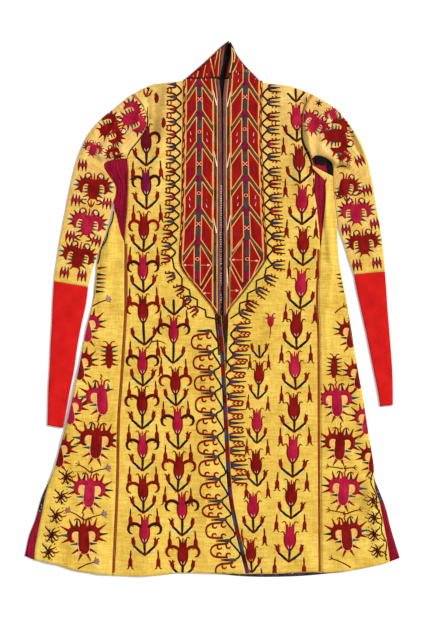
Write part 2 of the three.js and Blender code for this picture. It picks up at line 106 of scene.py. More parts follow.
# %% Edges and seams, as (across, down) or (down, across) rows
shoulder_line = line(
    (-185, 123), (-139, 100), (-103, 96), (-67, 91), (-35, 89), (22, 88), (82, 89), (116, 95), (157, 100),
    (193, 108), (227, 121))
front_hem = line(
    (-406, 1183), (-374, 1189), (-345, 1197), (-311, 1208), (-233, 1218), (-169, 1220), (-124, 1218),
    (-76, 1213), (111, 1215), (227, 1211), (268, 1212), (323, 1206), (392, 1192), (408, 1186))
back_hem = line(
    (-428, 1174), (-406, 1183), (-345, 1195), (-295, 1210), (-169, 1217), (-76, 1213), (9, 1215),
    (63, 1220), (120, 1222), (200, 1220), (268, 1214), (323, 1206), (392, 1192), (428, 1179))
seam_left = line(
    (123, -185), (139, -167), (153, -156), (169, -150), (185, -149), (201, -153), (226, -169), (249, -188),
    (267, -194), (300, -192), (378, -194), (458, -200), (591, -200), (764, -210), (860, -217), (1012, -220),
    (1215, -229))
seam_right = line(
    (121, 227), (141, 216), (157, 209), (185, 207), (226, 208), (264, 225), (306, 234), (335, 232),
    (390, 240), (477, 246), (591, 243), (670, 246), (910, 247), (1211, 249))
opening_left = line(
    (89, 16), (135, 21), (591, 22), (629, 21), (693, 27), (819, 34), (933, 40), (1035, 47), (1110, 61),
    (1172, 76), (1215, 87))
opening_right = line((89, 28), (135, 24), (636, 24), (693, 22), (819, 18), (1215, 18))
braid_side_left = line((89, 8), (135, 13), (629, 13), (693, 18), (933, 30), (1215, 76))
braid_side_right = line((89, 35), (135, 31), (629, 31), (819, 29), (1215, 29))
yoke_side_left = line(
    (89, -66), (271, -69), (420, -72), (500, -76), (524, -68), (572, -30), (624, 7), (660, -6), (693, -12),
    (819, -17), (1215, -17))
yoke_side_right = line(
    (89, 115), (203, 113), (294, 116), (397, 120), (495, 125), (516, 114), (568, 77), (624, 37), (660, 52),
    (693, 58), (819, 63), (1215, 86))
gusset_side_left = line(
    (272, -238), (283, -243), (299, -234), (324, -216), (335, -214), (369, -225), (406, -216), (438, -209),
    (458, -200.6))
gusset_side_right = line(
    (262, 245), (280, 254), (299, 262), (308, 258), (360, 258), (406, 254), (451, 249), (470, 246.6))
side_left = line(
    (372, -223), (405, -230), (431, -238), (455, -246), (480, -257), (505, -263), (540, -266), (580, -269),
    (600, -273), (655, -287), (727, -301), (782, -312), (891, -337), (928, -348), (971, -359), (1021, -377),
    (1062, -386), (1154, -404), (1183, -406))
side_right = line(
    (306, 275.4), (335, 276.2), (366, 279.4), (396, 283.4), (415, 284.6), (445, 285.6), (476, 287),
    (508, 290), (560, 300), (620, 311), (670, 317), (720, 327), (764, 335), (819, 345), (860, 351),
    (910, 359), (964, 368), (1015, 370), (1051, 381), (1092, 389), (1145, 399), (1186, 405))
back_side_left = line(
    (372, -223), (405, -230), (431, -238), (480, -257), (540, -266), (600, -273), (655, -287), (782, -312),
    (891, -337), (971, -359), (1001, -371), (1037, -388), (1092, -404), (1129, -418), (1176, -428))
back_side_right = line(
    (306, 270), (401, 277), (508, 286), (620, 311), (720, 327), (819, 345), (910, 359), (996, 370),
    (1028, 382), (1062, 395), (1113, 408), (1179, 428))
collar_outer_left = line((0, 37), (14, 20), (34, -1), (59, -28), (80, -53), (89, -64))
collar_inner_left = line((0, 39), (16, 32), (34, 27), (55, 24), (89, 16))
collar_inner_right = line((3, 40.6), (16, 43), (34, 42), (55, 36), (89, 29))
collar_outer_right = line((3, 42.6), (36, 59), (64, 82), (89, 110))
neck_lens_left = line((12, 26), (34, 14), (140, 12))
neck_lens_right = line((12, 48), (34, 54), (140, 36))
underarm_left = line((258, 230), (316, 240))
underarm_right = line((258, 264), (266, 271), (278, 276), (296, 277.5), (316, 277))


def level(down):
    return lambda across: np.full(np.shape(across), down)


def gore_seam_left(down):
    return np.minimum(gusset_side_left(down), seam_left(down))


def gore_seam_right(down):
    return np.where(np.asarray(down) < 470, gusset_side_right(down), seam_right(down))


# %% [markdown]
# ## Folds
# Silk that was folded away keeps soft ridges. Some of the large ones are the imported model's own;
# the others are steeper, narrower or only here. The small ones are listed one by one, uneven in
# length and height, and a little noise lets the cloth pucker round its stitches.

# %% Folds and small creases
LARGE_FOLDS = [
    # from across, from down, to across, to down, width, height
    (246, 250, 272, 276, 15, 7), (272, 274, 300, 274, 6, 7), (300, 274, 318, 284, 6, 6),
    (280, 283, 297, 277, 4, 5), (297, 277, 314, 285, 4, 5), (284, 290, 312, 288, 5, -4),
    (314, 180, 351, 262, 6, 9), (303, 188, 334, 252, 6, -4.5), (218, 132, 214, 200, 6, 6),
    (216, 200, 226, 258, 6, 9), (204, 200, 209, 266, 5, -2.4), (212, 268, 226, 345, 7, -1.4),
    (188, 262, 206, 350, 12, 3), (262, 180, 250, 246, 8, 4), (-252, 264, -200, 256, 8, 9),
    (-190, 146, -282, 236, 24, 3), (-236, 216, -262, 262, 7, 4), (-216, 170, -240, 232, 6, 3),
    (-262, 196, -296, 262, 7, 3), (-208, 210, -206, 250, 6, 4), (-322, 360, -246, 382, 20, 2.5),
    (-98, 104, -110, 196, 17, 12), (-146, 108, -147, 176, 6, -3.5), (-136, 172, -98, 146, 5, 3.5),
    (-160, 150, -172, 200, 8, 4), (-112, 196, -128, 300, 16, 4), (168, 112, 180, 190, 18, 4),
    (262, 400, 270, 500, 8, 4.5), (262, 330, 258, 420, 6, 4), (262, 545, 252, 670, 14, 2.5),
    (330, 790, 352, 930, 14, 3), (352, 1010, 386, 1160, 16, 4), (-232, 460, -250, 590, 12, 4),
    (-222, 396, -240, 470, 6, 3), (-300, 760, -332, 920, 14, 3), (-352, 1090, -372, 1182, 16, 4),
    (-272, 1110, -252, 1205, 20, 4), (-150, 1130, -160, 1214, 26, 3), (-14, 880, -12, 1180, 16, 2.5),
    (150, 1110, 140, 1208, 26, 3), (292, 1120, 300, 1200, 20, 3.5), (-322, 1150, -270, 1186, 9, 3),
    (33, 20, 14, 80, 12, 4), (46, 22, 38, 80, 12, 4), (-340, 960, -360, 1010, 10, 4),
    (366, 980, 352, 1060, 10, 4),
]
SMALL_CREASES = [
    (268, 395, 274, 470, 4, 1.5), (282, 470, 262, 600, 4, 1.2), (258, 620, 262, 720, 4, 1.0),
    (-246, 470, -256, 540, 4, 1.2), (-262, 560, -250, 640, 5, 0.9), (-270, 1150, -240, 1176, 5, 1.2),
    (-300, 1120, -262, 1150, 5, 1.2), (-330, 1150, -300, 1190, 5, 1.2), (-232, 1060, -205, 1140, 5, 0.8),
    (-176, 150, -160, 240, 5, 1.0), (-120, 104, -126, 150, 4, 1.2), (150, 104, 158, 150, 4, 1.2),
    (196, 110, 200, 170, 5, 1.4), (203, 190, 204, 300, 5, 1.3), (214, 250, 226, 330, 4, 1.4),
    (-290, 300, -240, 330, 5, 1.2), (-330, 400, -262, 412, 5, 0.9), (-340, 470, -280, 476, 5, 0.8),
    (300, 290, 352, 330, 5, 1.2), (300, 350, 360, 360, 5, 1.0), (320, 430, 376, 436, 5, 0.8),
    (180, 1000, 220, 1180, 8, 1.0), (60, 1150, 100, 1200, 6, 1.0), (-90, 1120, -60, 1210, 8, 0.9),
    (110, 640, 190, 650, 6, 0.7), (130, 820, 230, 812, 6, 0.6), (-190, 900, -110, 906, 6, 0.6),
    (-200, 640, -150, 632, 5, 0.6), (300, 900, 340, 1000, 6, 1.0), (-330, 980, -300, 1080, 6, 1.0),
    (-110, 640, -20, 660, 6, 0.6), (340, 1080, 330, 1180, 7, 1.2), (-366, 1040, -352, 1100, 5, 1.0),
    (40, 1010, 52, 1100, 5, 0.8), (-212, 330, -200, 440, 4, 0.8),
]


def ridge_height(across, down, table):
    height = np.zeros(np.broadcast(across, down).shape)
    for x0, d0, x1, d1, width, rise in table:
        run = math.hypot(x1 - x0, d1 - d0)
        dx = across - x0
        dy = down - d0
        along = (dx * (x1 - x0) + dy * (d1 - d0)) / run
        aside = np.abs(dx * (d1 - d0) - dy * (x1 - x0)) / run
        past = np.maximum(0, np.maximum(-along, along - run))
        reach = np.hypot(aside, past) / (width * 1.6)
        height += np.where(reach < 1, rise * np.cos(np.minimum(reach, 1) * math.pi / 2) ** 2, 0)
    return height


def fold_height(across, down):
    return ridge_height(across, down, LARGE_FOLDS)


PUCKERS = [(70.0, 34.0, 0.9), (23.0, 15.0, 0.45), (9.0, 7.0, 0.2)]


def pucker(across, down, seed=0.0):
    """Noise of three sizes: wide swells, puckers between stitches, and fine ripples."""
    flat_a = np.ravel(across)
    flat_d = np.ravel(down)
    total = np.zeros(flat_a.shape)
    for wide, deep, rise in PUCKERS:
        total += [rise * noise.noise(Vector((a / wide, d / deep, seed + wide)))
                  for a, d in zip(flat_a, flat_d)]
    return total.reshape(np.shape(across))


print("large folds:", len(LARGE_FOLDS), " small creases:", len(SMALL_CREASES))


# %% [markdown]
# ## Rows of a panel
# The rows of the body follow the shoulder line at the top and the hem at the bottom, and lie
# straight across between them, as the weft of the cloth does.

# %% Rows, points and grids
def depth_of(nominal, across, hem):
    top = shoulder_line(across)
    upper = top + (nominal - SHOULDER) / (UNDERARM - SHOULDER) * (UNDERARM - top)
    lower = SLIT + (nominal - SLIT) / (HEM - SLIT) * (hem(across) - SLIT)
    return np.where(nominal < UNDERARM, upper, np.where(nominal > SLIT, lower, nominal))


def point_on(seam, nominal, hem):
    across = seam(nominal)
    for _ in range(8):
        across = seam(depth_of(nominal, across, hem))
    return across


def rows_between(start, end, step=6.5):
    return np.linspace(start, end, max(2, int(round((end - start) / step)) + 1))


def panel_grid(rows, lines, cells, top, hem=front_hem, free=False):
    """Places of a panel: across, down and height, one row of the arrays for each row of cloth."""
    across_rows, down_rows, height_rows = [], [], []
    for nominal in rows:
        edges = [float(seam(nominal) if free else point_on(seam, nominal, hem)) for seam in lines]
        edges[0] += SEAM_GAP / 2
        edges[-1] -= SEAM_GAP / 2
        parts = [np.linspace(edges[i], edges[i + 1], cells[i] + 1)[(1 if i else 0):]
                 for i in range(len(edges) - 1)]
        across = np.concatenate(parts)
        down = np.full(across.shape, nominal)
        if not free:
            down = depth_of(down, across, hem)
        across_rows.append(across)
        down_rows.append(down)
        height_rows.append(top(across, down, edges[0], edges[-1]))
    return np.array(across_rows), np.array(down_rows), np.array(height_rows)


# %% How high each layer lies
def fall_at(distance):
    return EDGE_FALL * (1 - smooth(distance / EDGE_FALL_WIDTH))


def small_form(across, down):
    return ridge_height(across, down, SMALL_CREASES) + pucker(across, down)


def front_top(across, down, left, right):
    beside_neck = np.where((across < -75) | (across > 124), 1.0, 0.0)
    base = FRONT_TOP - beside_neck * fall_at(down - shoulder_line(across))
    return base + fold_height(across, down) + small_form(across, down)


def lapped_top(across, down, left, right):
    hidden = opening_right(down)
    climb = smooth((across - (hidden - LAP_WIDTH)) / (LAP_WIDTH - LAP_FULL))
    started = smooth((down - LAP_START) / (LAP_END - LAP_START))
    return front_top(across, down, left, right) + (SILK_WALL + LAYER_GAP) * climb * started


def gore_fall(down, distance):
    return fall_at(distance) * smooth((down - UNDERARM_CLEAR) / 30) * smooth((SLIT - 12 - down) / 45)


def gore_top(outward):
    """The top of a gore, which falls to the back along its outer edge; -1 is the left one."""
    def top(across, down, left, right):
        base = FRONT_TOP - gore_fall(down, right - across if outward > 0 else across - left)
        return base + fold_height(across, down) + small_form(across, down)
    return top


def gathered_top(across, down, left, right):
    """Gathers run down the gusset and meet at its point; each one is a little different."""
    u = (across - left) / (right - left)
    fade = smooth((right - left) / 30.0)
    gathers = GATHERS_LEFT if left < 0 else GATHERS_RIGHT
    uneven = u * gathers + 0.4 * np.sin(u * 5.3 + down / 47.0) + 0.2 * np.sin(down / 21.0 + u * 11)
    wave = (0.5 - 0.5 * np.cos(2 * math.pi * uneven)) * (0.68 + 0.32 * np.sin(u * 17 + down / 29.0))
    tucked = 3.6 * (1 - smooth((down - 276) / 16))
    return FRONT_TOP + 1.9 * fade * wave ** 1.5 + 0.4 * pucker(across, down * 0.3, 9.0) - tucked


def flat_top(height, ripple=0.0):
    def top(across, down, left, right):
        return height + ripple * pucker(across, down, 4.0)
    return top


# %% [markdown]
# ## Cloth with a wall
# A sheet of cloth has a face, a back and an edge. The face and the back are the same grid one
# wall apart, and the edge is drawn in a little so that it looks turned, as a sewn edge does.
# A texture place is kept for each point: across and down the cloth, in metres. The weave follows
# it, so it runs with the cloth and not with the room.

# %% Mesh helpers
pieces = {}
cloth_tops = {}


def to_metres(across, down, height):
    return np.stack([across * MM, (LENGTH / 2 - down) * MM, height * MM], axis=-1)


def new_object(name, verts, faces, uvs, materials, face_slots=None):
    mesh = bpy.data.meshes.new(name)
    mesh.from_pydata([tuple(v) for v in verts], [], faces)
    for material in materials:
        mesh.materials.append(material)
    if face_slots is not None:
        mesh.polygons.foreach_set("material_index", face_slots)
    layer = mesh.uv_layers.new(name="thread")
    loops = np.empty(len(mesh.loops), dtype=np.int32)
    mesh.loops.foreach_get("vertex_index", loops)
    layer.data.foreach_set("uv", np.asarray(uvs, dtype=np.float32)[loops].ravel())
    mesh.polygons.foreach_set("use_smooth", [True] * len(mesh.polygons))
    mesh.update()
    piece = bpy.data.objects.new(name, mesh)
    bpy.context.scene.collection.objects.link(piece)
    return piece


def grid_faces(rows, columns, start=0, flip=False):
    faces = []
    for r in range(rows - 1):
        for c in range(columns - 1):
            a = start + r * columns + c
            quad = (a, a + columns, a + columns + 1, a + 1)
            faces.append(quad[::-1] if flip else quad)
    return faces


EDGE_DRAW = 0.35


def cloth_sheet(name, grid, wall, material, under_flat=None, face_material=None):
    """A walled sheet from a grid; its rim is rounded by drawing both faces in at the edge."""
    across, down, height = grid
    rows, columns = across.shape
    rim = np.zeros(across.shape, bool)
    rim[0] = rim[-1] = True
    rim[:, 0] = rim[:, -1] = True
    upper = np.where(rim, height - EDGE_DRAW, height)
    lower = height - wall
    lower = np.where(rim, lower + EDGE_DRAW, lower)
    if under_flat is not None:
        lower = np.full(height.shape, under_flat)
    face = to_metres(across, down, upper).reshape(-1, 3)
    back = to_metres(across, down, lower).reshape(-1, 3)
    count = rows * columns
    faces = grid_faces(rows, columns) + grid_faces(rows, columns, count, flip=True)
    edge = [r * columns for r in range(rows - 1)]
    edge += [(rows - 1) * columns + c for c in range(columns - 1)]
    edge += [r * columns + columns - 1 for r in range(rows - 1, 0, -1)]
    edge += [c for c in range(columns - 1, 0, -1)]
    for i, p in enumerate(edge):
        q = edge[(i + 1) % len(edge)]
        faces.append((p, count + p, count + q, q))
    uv = np.stack([across * MM, down * MM], axis=-1).reshape(-1, 2)
    materials = [material] if face_material is None else [material, face_material]
    top_count = (rows - 1) * (columns - 1)
    face_slots = [len(materials) - 1] * top_count + [0] * (len(faces) - top_count)
    pieces[name] = new_object(name, np.concatenate([face, back]), faces, np.concatenate([uv, uv]),
                              materials, face_slots)
    cloth_tops[name] = (face, grid_faces(rows, columns))


# %% [markdown]
# ## Materials
# Every finish is built from nodes: the weave or the stitches as a fine bump, threads that catch
# a little more or less dye, and broad fading. Silk has a soft sheen, wool almost none.

# %% Material helpers
def linear(hex_colour):
    """A colour as it is written on a dye card, turned into the amounts that the shader takes."""
    value = int(hex_colour, 16)
    out = []
    for shift in (16, 8, 0):
        c = ((value >> shift) & 255) / 255
        out.append(c / 12.92 if c <= 0.04045 else ((c + 0.055) / 1.055) ** 2.4)
    return (*out, 1.0)


class Finish:
    """A small helper that adds nodes to one material and joins them."""

    def __init__(self, name, roughness=0.7, sheen=0.0, specular=0.3):
        self.material = bpy.data.materials.new(name)
        self.material.use_nodes = True
        self.tree = self.material.node_tree
        self.shader = self.tree.nodes["Principled BSDF"]
        self.shader.inputs["Roughness"].default_value = roughness
        self.shader.inputs["Specular IOR Level"].default_value = specular
        self.shader.inputs["Sheen Weight"].default_value = sheen
        self.shader.inputs["Sheen Roughness"].default_value = 0.45

    def node(self, kind, **settings):
        node = self.tree.nodes.new(kind)
        for key, value in settings.items():
            if key in node.inputs:
                node.inputs[key].default_value = value
            else:
                setattr(node, key, value)
        return node

    def join(self, out, target):
        self.tree.links.new(out, target)

    def place(self, scale):
        uv = self.node("ShaderNodeUVMap", uv_map="thread")
        mapping = self.node("ShaderNodeMapping")
        mapping.inputs["Scale"].default_value = scale
        self.join(uv.outputs["UV"], mapping.inputs["Vector"])
        return mapping.outputs["Vector"]

    def noise(self, scale, detail=3.0, roughness=0.6):
        tex = self.node("ShaderNodeTexNoise", Scale=1.0, Detail=detail, Roughness=roughness)
        self.join(self.place(scale), tex.inputs["Vector"])
        return tex.outputs["Fac"]

    def wave(self, scale, direction, distortion=0.0):
        tex = self.node("ShaderNodeTexWave", Scale=1.0, Distortion=distortion)
        tex.bands_direction = direction
        self.join(self.place(scale), tex.inputs["Vector"])
        return tex.outputs["Fac"]

    def ramp(self, value, stops):
        ramp = self.node("ShaderNodeValToRGB")
        while len(ramp.color_ramp.elements) < len(stops):
            ramp.color_ramp.elements.new(0.5)
        for element, (position, colour) in zip(ramp.color_ramp.elements, stops):
            element.position = position
            element.color = linear(colour)
        self.join(value, ramp.inputs["Fac"])
        return ramp.outputs["Color"]

    def mix(self, mode, amount, first, second):
        mix = self.node("ShaderNodeMix", data_type="RGBA", blend_type=mode)
        mix.inputs[0].default_value = amount if isinstance(amount, float) else 0.5
        if not isinstance(amount, float):
            self.join(amount, mix.inputs[0])
        self.join(first, mix.inputs[6])
        self.join(second, mix.inputs[7])
        return mix.outputs[2]

    def add(self, first, second, operation="ADD"):
        node = self.node("ShaderNodeMath", operation=operation)
        for slot, value in enumerate((first, second)):
            if isinstance(value, float):
                node.inputs[slot].default_value = value
            else:
                self.join(value, node.inputs[slot])
        return node.outputs[0]

    def finish(self, colour, height, strength=0.5, distance=0.0004):
        bump = self.node("ShaderNodeBump", Strength=strength, Distance=distance)
        self.join(height, bump.inputs["Height"])
        self.join(bump.outputs["Normal"], self.shader.inputs["Normal"])
        self.join(colour, self.shader.inputs["Base Color"])
        return self.material


# %% Silk, wool, lining
def woven_silk(name, shades, wrinkle, sheen=0.04, specular=0.22, top_shades=None):
    """Hand-woven silk: an even weave, slubs and small wrinkles across it, and faint fading.
    Towards the top of the cloak it can turn in part towards the second set of shades."""
    f = Finish(name, roughness=0.62, sheen=sheen, specular=specular)
    weave = f.add(f.wave((900, 0, 0), "X"), f.wave((0, 900, 0), "Y"))
    slub = f.noise((60, 420, 1), detail=4.0)
    warp = f.noise((320, 40, 1), detail=4.0)
    fade = f.noise((14, 11, 1), detail=6.0, roughness=0.7)
    wrinkle_bump_and_shade = f.noise(wrinkle, detail=5.0, roughness=0.7)
    fine = f.add(f.add(slub, warp), 0.19, "MULTIPLY")
    # The wrinkle noise gives the bump and also darkens and lightens the colour along the wrinkles: painted
    # shade.
    broad = f.add(f.add(fade, 0.32, "MULTIPLY"), f.add(wrinkle_bump_and_shade, 0.3, "MULTIPLY"))
    colour = f.ramp(f.add(fine, broad), shades)
    # Towards the top the colour mixes in part with a second, peach set of shades.
    if top_shades:
        place = f.node("ShaderNodeSeparateXYZ")
        f.join(f.place((1, 1, 1)), place.inputs[0])
        towards_top = f.add(f.add(0.46, place.outputs["Y"], "SUBTRACT"), 0.62, "MULTIPLY")
        colour = f.mix("MIX", towards_top, colour, f.ramp(fade, top_shades))
    height = f.add(f.add(weave, 0.3, "MULTIPLY"), f.add(slub, f.add(wrinkle_bump_and_shade, 4.0, "MULTIPLY")))
    return f.finish(colour, height, strength=0.6, distance=0.0006)


YELLOW_SILK = woven_silk("yellow_silk", [(0.37, "A67A22"), (0.44, "D2A636"), (0.51, "E5BC49"),
                                         (0.58, "F2D062"), (0.66, "FCE698")], (22, 190, 1),
                         top_shades=[(0.4, "DC9C84"), (0.6, "EEBC9A")])
MAGENTA_SILK = woven_silk("magenta_silk", [(0.38, "3C020E"), (0.48, "800422"), (0.6, "A80E34")],
                          (260, 20, 1), sheen=0.0, specular=0.08)


def felted_wool():
    """Fine scarlet broadcloth: short matt fibres over a weave that hardly shows."""
    f = Finish("scarlet_wool", roughness=0.92, sheen=0.04, specular=0.08)
    fibre = f.noise((900, 900, 1), detail=5.0)
    mottle = f.noise((30, 24, 1), detail=4.0)
    tone = f.add(f.add(fibre, mottle), 0.5, "MULTIPLY")
    colour = f.ramp(tone, [(0.32, "A00E0C"), (0.5, "C41614"), (0.68, "D4221C")])
    return f.finish(colour, f.add(fibre, mottle), strength=0.35, distance=0.0005)


SCARLET_WOOL = felted_wool()


def printed_lining():
    """Dark printed cotton: small rows of light and red marks on charcoal and violet."""
    f = Finish("dark_lining", roughness=0.85, specular=0.2)
    cells = f.node("ShaderNodeTexVoronoi", Scale=1.0)
    f.join(f.place((150, 150, 1)), cells.inputs["Vector"])
    patch = f.noise((60, 40, 1), detail=2.0)
    ground = f.ramp(patch, [(0.38, "191B1F"), (0.52, "2C2833"), (0.66, "44304F")])
    marks = f.ramp(cells.outputs["Distance"], [(0.0, "D8CFC4"), (0.22, "8A2430"), (0.3, "1B1D22")])
    colour = f.mix("LIGHTEN", 0.8, ground, marks)
    return f.finish(colour, f.noise((900, 900, 1)), strength=0.3, distance=0.0003)


def plain_lining():
    """The plain charcoal cotton inside the neck and the underarm."""
    f = Finish("charcoal_lining", roughness=0.9, specular=0.15)
    patch = f.noise((40, 60, 1), detail=4.0)
    colour = f.ramp(patch, [(0.35, "060404"), (0.5, "0C0806"), (0.65, "16100C")])
    return f.finish(colour, f.noise((800, 800, 1)), strength=0.3, distance=0.0003)


DARK_LINING = printed_lining()
CHARCOAL_LINING = plain_lining()


# %% [markdown]
# ## Thread colours
# The embroidery is silk floss in lacing stitch: long threads laid along the shape and laced
# down. So each colour has streaks along the thread, small stitches across it, and a sheen.

# %% Stitch materials
def floss(name, dark, middle, light):
    f = Finish("floss_" + name, roughness=0.6, specular=0.05)
    streak = f.noise((130, 1500, 1), detail=4.0)
    tone = f.noise((26, 40, 1), detail=3.0)
    mixed = f.add(f.add(streak, tone), 0.5, "MULTIPLY")
    colour = f.ramp(mixed, [(0.34, dark), (0.5, middle), (0.66, light)])
    stitch = f.wave((300, 110, 0), "DIAGONAL", distortion=1.0)
    height = f.add(f.add(stitch, 0.6, "MULTIPLY"), streak)
    return f.finish(colour, height, strength=0.6, distance=0.0005)


FLOSS_SHADES = {
    # dark, middle and light of each thread
    "crimson": "4A0503 760A07 98140E", "red": "6A0704 8E0D08 A81A10", "rim": "340504 520706 700D0A",
    "magenta": "7C0820 A01030 BE2848", "rose": "560626 720C36 8C1C46", "wine": "420210 5E0616 781222",
    "plum": "22080A 380A0E 4E1216", "black": "0E0A08 1A120E 2A201A", "green": "0C140A 1A2414 344028",
    "teal": "0C3836 1A524C 38756C", "navy": "161A30 252A48 3C4060", "slate": "26262A 38383C 505054",
    "purple": "4E0C34 701848 86285A", "orange": "BE7C34 DE9E52 EEBE7C", "pale": "D4A498 ECCEC2 FAECE4",
    "straw": "D0A048 EEC878 FBE2A4", "brown": "521408 782010 9A3A1E", "rust": "6E2E12 94461E B0663A",
    "mauve": "7A4038 9C5E50 BC8070", "taupe": "4E2A2A 70443F 8E645C", "olive": "262C1C 3C432C 585E44",
    "blush": "D0905A E6AC76 F4CCA0", "dusk": "6A4648 8C686A B09090",
}
FLOSS = {name: floss(name, *shades.split()) for name, shades in FLOSS_SHADES.items()}
print("thread colours:", len(FLOSS))

# %% [markdown]
# ## The back and what shows of the lining
# The back lies on the surface. Its underside is flat and plain, and it has only the pieces that
# it must have: the straight back, a gore at each side, and the hidden halves of the gussets. Its
# inner face is the dark cotton that lines the cloak.

# %% Back, linings and facings
BACK = flat_top(SILK_WALL)
LINING = flat_top(LINING_BASE + LINING_WALL)

for name, rows, lines, cells, material, inner_face in (
    ("back_body_cloth", rows_between(SHOULDER, HEM, 14), [seam_left, seam_right], 34,
     YELLOW_SILK, CHARCOAL_LINING),
    ("back_gore_left_cloth", rows_between(370.6, HEM, 12), [back_side_left, seam_left], 14,
     YELLOW_SILK, CHARCOAL_LINING),
    ("back_gore_right_cloth", rows_between(306, HEM, 12), [seam_right, back_side_right], 14,
     YELLOW_SILK, CHARCOAL_LINING),
    ("gusset_back_left_cloth", rows_between(276, 370, 8), [gusset_side_left, seam_left], 6,
     MAGENTA_SILK, None),
    ("gusset_back_right_cloth", rows_between(UNDERARM + 0.5, 304, 8), [seam_right, underarm_right], 6,
     MAGENTA_SILK, None),
):
    cloth_sheet(name, panel_grid(rows, lines, [cells], BACK, back_hem), SILK_WALL, material,
                under_flat=0.0, face_material=inner_face)
cloth_sheet("lining_neck_cloth",
            panel_grid(rows_between(12, 140, 6), [neck_lens_left, neck_lens_right], [8], LINING, free=True),
            LINING_WALL, CHARCOAL_LINING)
cloth_sheet("lining_underarm_cloth",
            panel_grid(rows_between(258, 316, 4), [underarm_left, underarm_right], [8], LINING, free=True),
            LINING_WALL, CHARCOAL_LINING)
cloth_sheet("lining_hem_cloth",
            panel_grid(rows_between(1185, HEM - 0.6, 4), [lambda d: 20.0, lambda d: 275.0], [60],
                       LINING, back_hem), LINING_WALL, DARK_LINING)
FACING_WIDTH = 40
for name, lines, lined_cells in (
    ("facing_slit_left_cloth",
     [lambda d: back_side_left(d) + 0.6, lambda d: back_side_left(d) + FACING_WIDTH], 120),
    ("facing_slit_right_cloth",
     [lambda d: back_side_right(d) - FACING_WIDTH, lambda d: back_side_right(d) - 0.6], 88),
):
    cloth_sheet(name, panel_grid(rows_between(SLIT, HEM - 0.6, 7), lines, [8], LINING, back_hem),
                LINING_WALL, MAGENTA_SILK)
    pieces[name].data.materials.append(DARK_LINING)
    for polygon in pieces[name].data.polygons[:lined_cells]:
        polygon.material_index = 1
print("back pieces:", len(pieces))

# %% [markdown]
# ## The fronts, gores and gussets
# The fronts run over the shoulder, so they fall to the back there. The left front laps over the
# right one below the breast. The gussets are gathered, which lets the arm move.

# %% Fronts
body_rows = rows_between(SHOULDER, HEM, 6.0)
front_left_grid = panel_grid(body_rows, [seam_left, yoke_side_left, braid_side_left, opening_left],
                             [30, 16, 2], lapped_top)
front_right_grid = panel_grid(body_rows, [opening_right, braid_side_right, yoke_side_right, seam_right],
                              [2, 16, 30], front_top)
cloth_sheet("front_right_cloth", front_right_grid, SILK_WALL, YELLOW_SILK)
cloth_sheet("front_left_cloth", front_left_grid, SILK_WALL, YELLOW_SILK)
cloth_sheet("front_gore_left_cloth",
            panel_grid(rows_between(378, HEM, 6), [side_left, gore_seam_left], [28], gore_top(-1)),
            SILK_WALL, YELLOW_SILK)
across, down, height = panel_grid(np.concatenate([[308, 311, 314], rows_between(318, HEM, 6)]),
                                  [gore_seam_right, side_right], [26], gore_top(1))
turned = np.clip((316 - down) / 2, 0, 1) * np.linspace(1, 0, down.shape[1])[None, :] ** 1.4
turned_grid = (across - 30 * turned, down - 24 * turned, height + 6.0 * turned ** 0.5)
cloth_sheet("front_gore_right_cloth", turned_grid, SILK_WALL, YELLOW_SILK)
gusset_fold_left = line(
    (276, -246), (287, -246.4), (299, -240.4), (312, -230.4), (330, -219.4), (352, -219.4), (369, -225),
    (406, -216), (438, -209), (458, -200.6))
across, down, height = panel_grid(rows_between(276, GUSSET_POINT - 6, 4), [gusset_fold_left, seam_left],
                                  [48], gathered_top)
down = down - (1 - smooth((down - 276) / 24)) * np.clip(5.0 + 0.1 * (across + 246), 0, 9.0)
cloth_sheet("gusset_left_cloth", (across, down, height), SILK_WALL, MAGENTA_SILK)
gusset_fold_right = line(
    (262, 252), (272, 257), (283, 259), (291, 261), (300, 262), (312, 262), (330, 259), (360, 258),
    (406, 254), (451, 249), (470, 246.6))
across, down, height = panel_grid(rows_between(UNDERARM + 0.5, 452, 4), [seam_right, gusset_fold_right],
                                  [44], gathered_top)
cloth_sheet("gusset_right_cloth", (across, down - (1 - smooth((down - 268) / 16)) * 4.0, height),
            SILK_WALL, MAGENTA_SILK)
print("front pieces are in, in all:", len(pieces))

# %% [markdown]
# ## Sleeves and cuffs
# A sleeve is a tube laid flat. Each section is a row of places from its outer fold to its inner
# one; the upper and lower wall meet in a rounded fold at both. The first section is the armhole
# seam itself, and its curve fades out along the sleeve.

# %% Sections of the tubes
TUBE_CELLS = 34
TUBE_STEP = 5.0
SECTION_ROWS = {
    # outer across, outer down, inner across, inner down
    "sleeve_left": [
        (-206, 139, -206, 268), (-226, 156, -221, 270), (-247, 172, -237, 273), (-267, 192, -246, 279),
        (-284, 215, -247, 287), (-298, 243, -242, 297), (-309, 272, -231, 312), (-318, 306, -220, 330),
        (-327, 348, -220, 352), (-335, 390, -229, 376), (-343, 430, -235, 408), (-350, 470, -245, 442),
        (-355, 505, -259, 480), (-359, 530, -273, 520), (-361, 547.2, -283, 561)],
    "sleeve_right": [
        (243, 130, 236, 261), (259, 139, 248, 262), (275, 149, 259, 266), (291, 163, 268, 272),
        (307, 182, 274, 280), (322, 203, 276, 292), (336, 226, 276, 306), (347, 251, 276, 322),
        (356, 280, 277, 340), (364, 318, 280, 366), (371, 358, 284, 396), (379, 402, 290, 432),
        (386, 446, 302, 468), (391, 488, 313, 504), (394, 525.2, 323, 532)],
    "cuff_left": [
        (-361, 547.7, -283, 561.5), (-364, 595, -288, 600), (-366, 645, -299, 650), (-369, 695, -308, 700),
        (-371, 745, -315, 750), (-374, 795, -325, 800), (-375, 840, -333, 845), (-376, 876, -340, 882)],
    "cuff_right": [
        (394, 525.7, 323, 532.5), (397, 565, 330, 570), (400, 610, 340, 615), (404, 660, 351, 665),
        (408, 710, 361, 715), (411, 755, 370, 760), (412, 795, 378, 800), (412, 830, 383, 833)],
}
ACROSS_SHARE = 0.5 - 0.5 * np.cos(np.linspace(0, math.pi, TUBE_CELLS + 1))
BOW_SECTIONS = 5


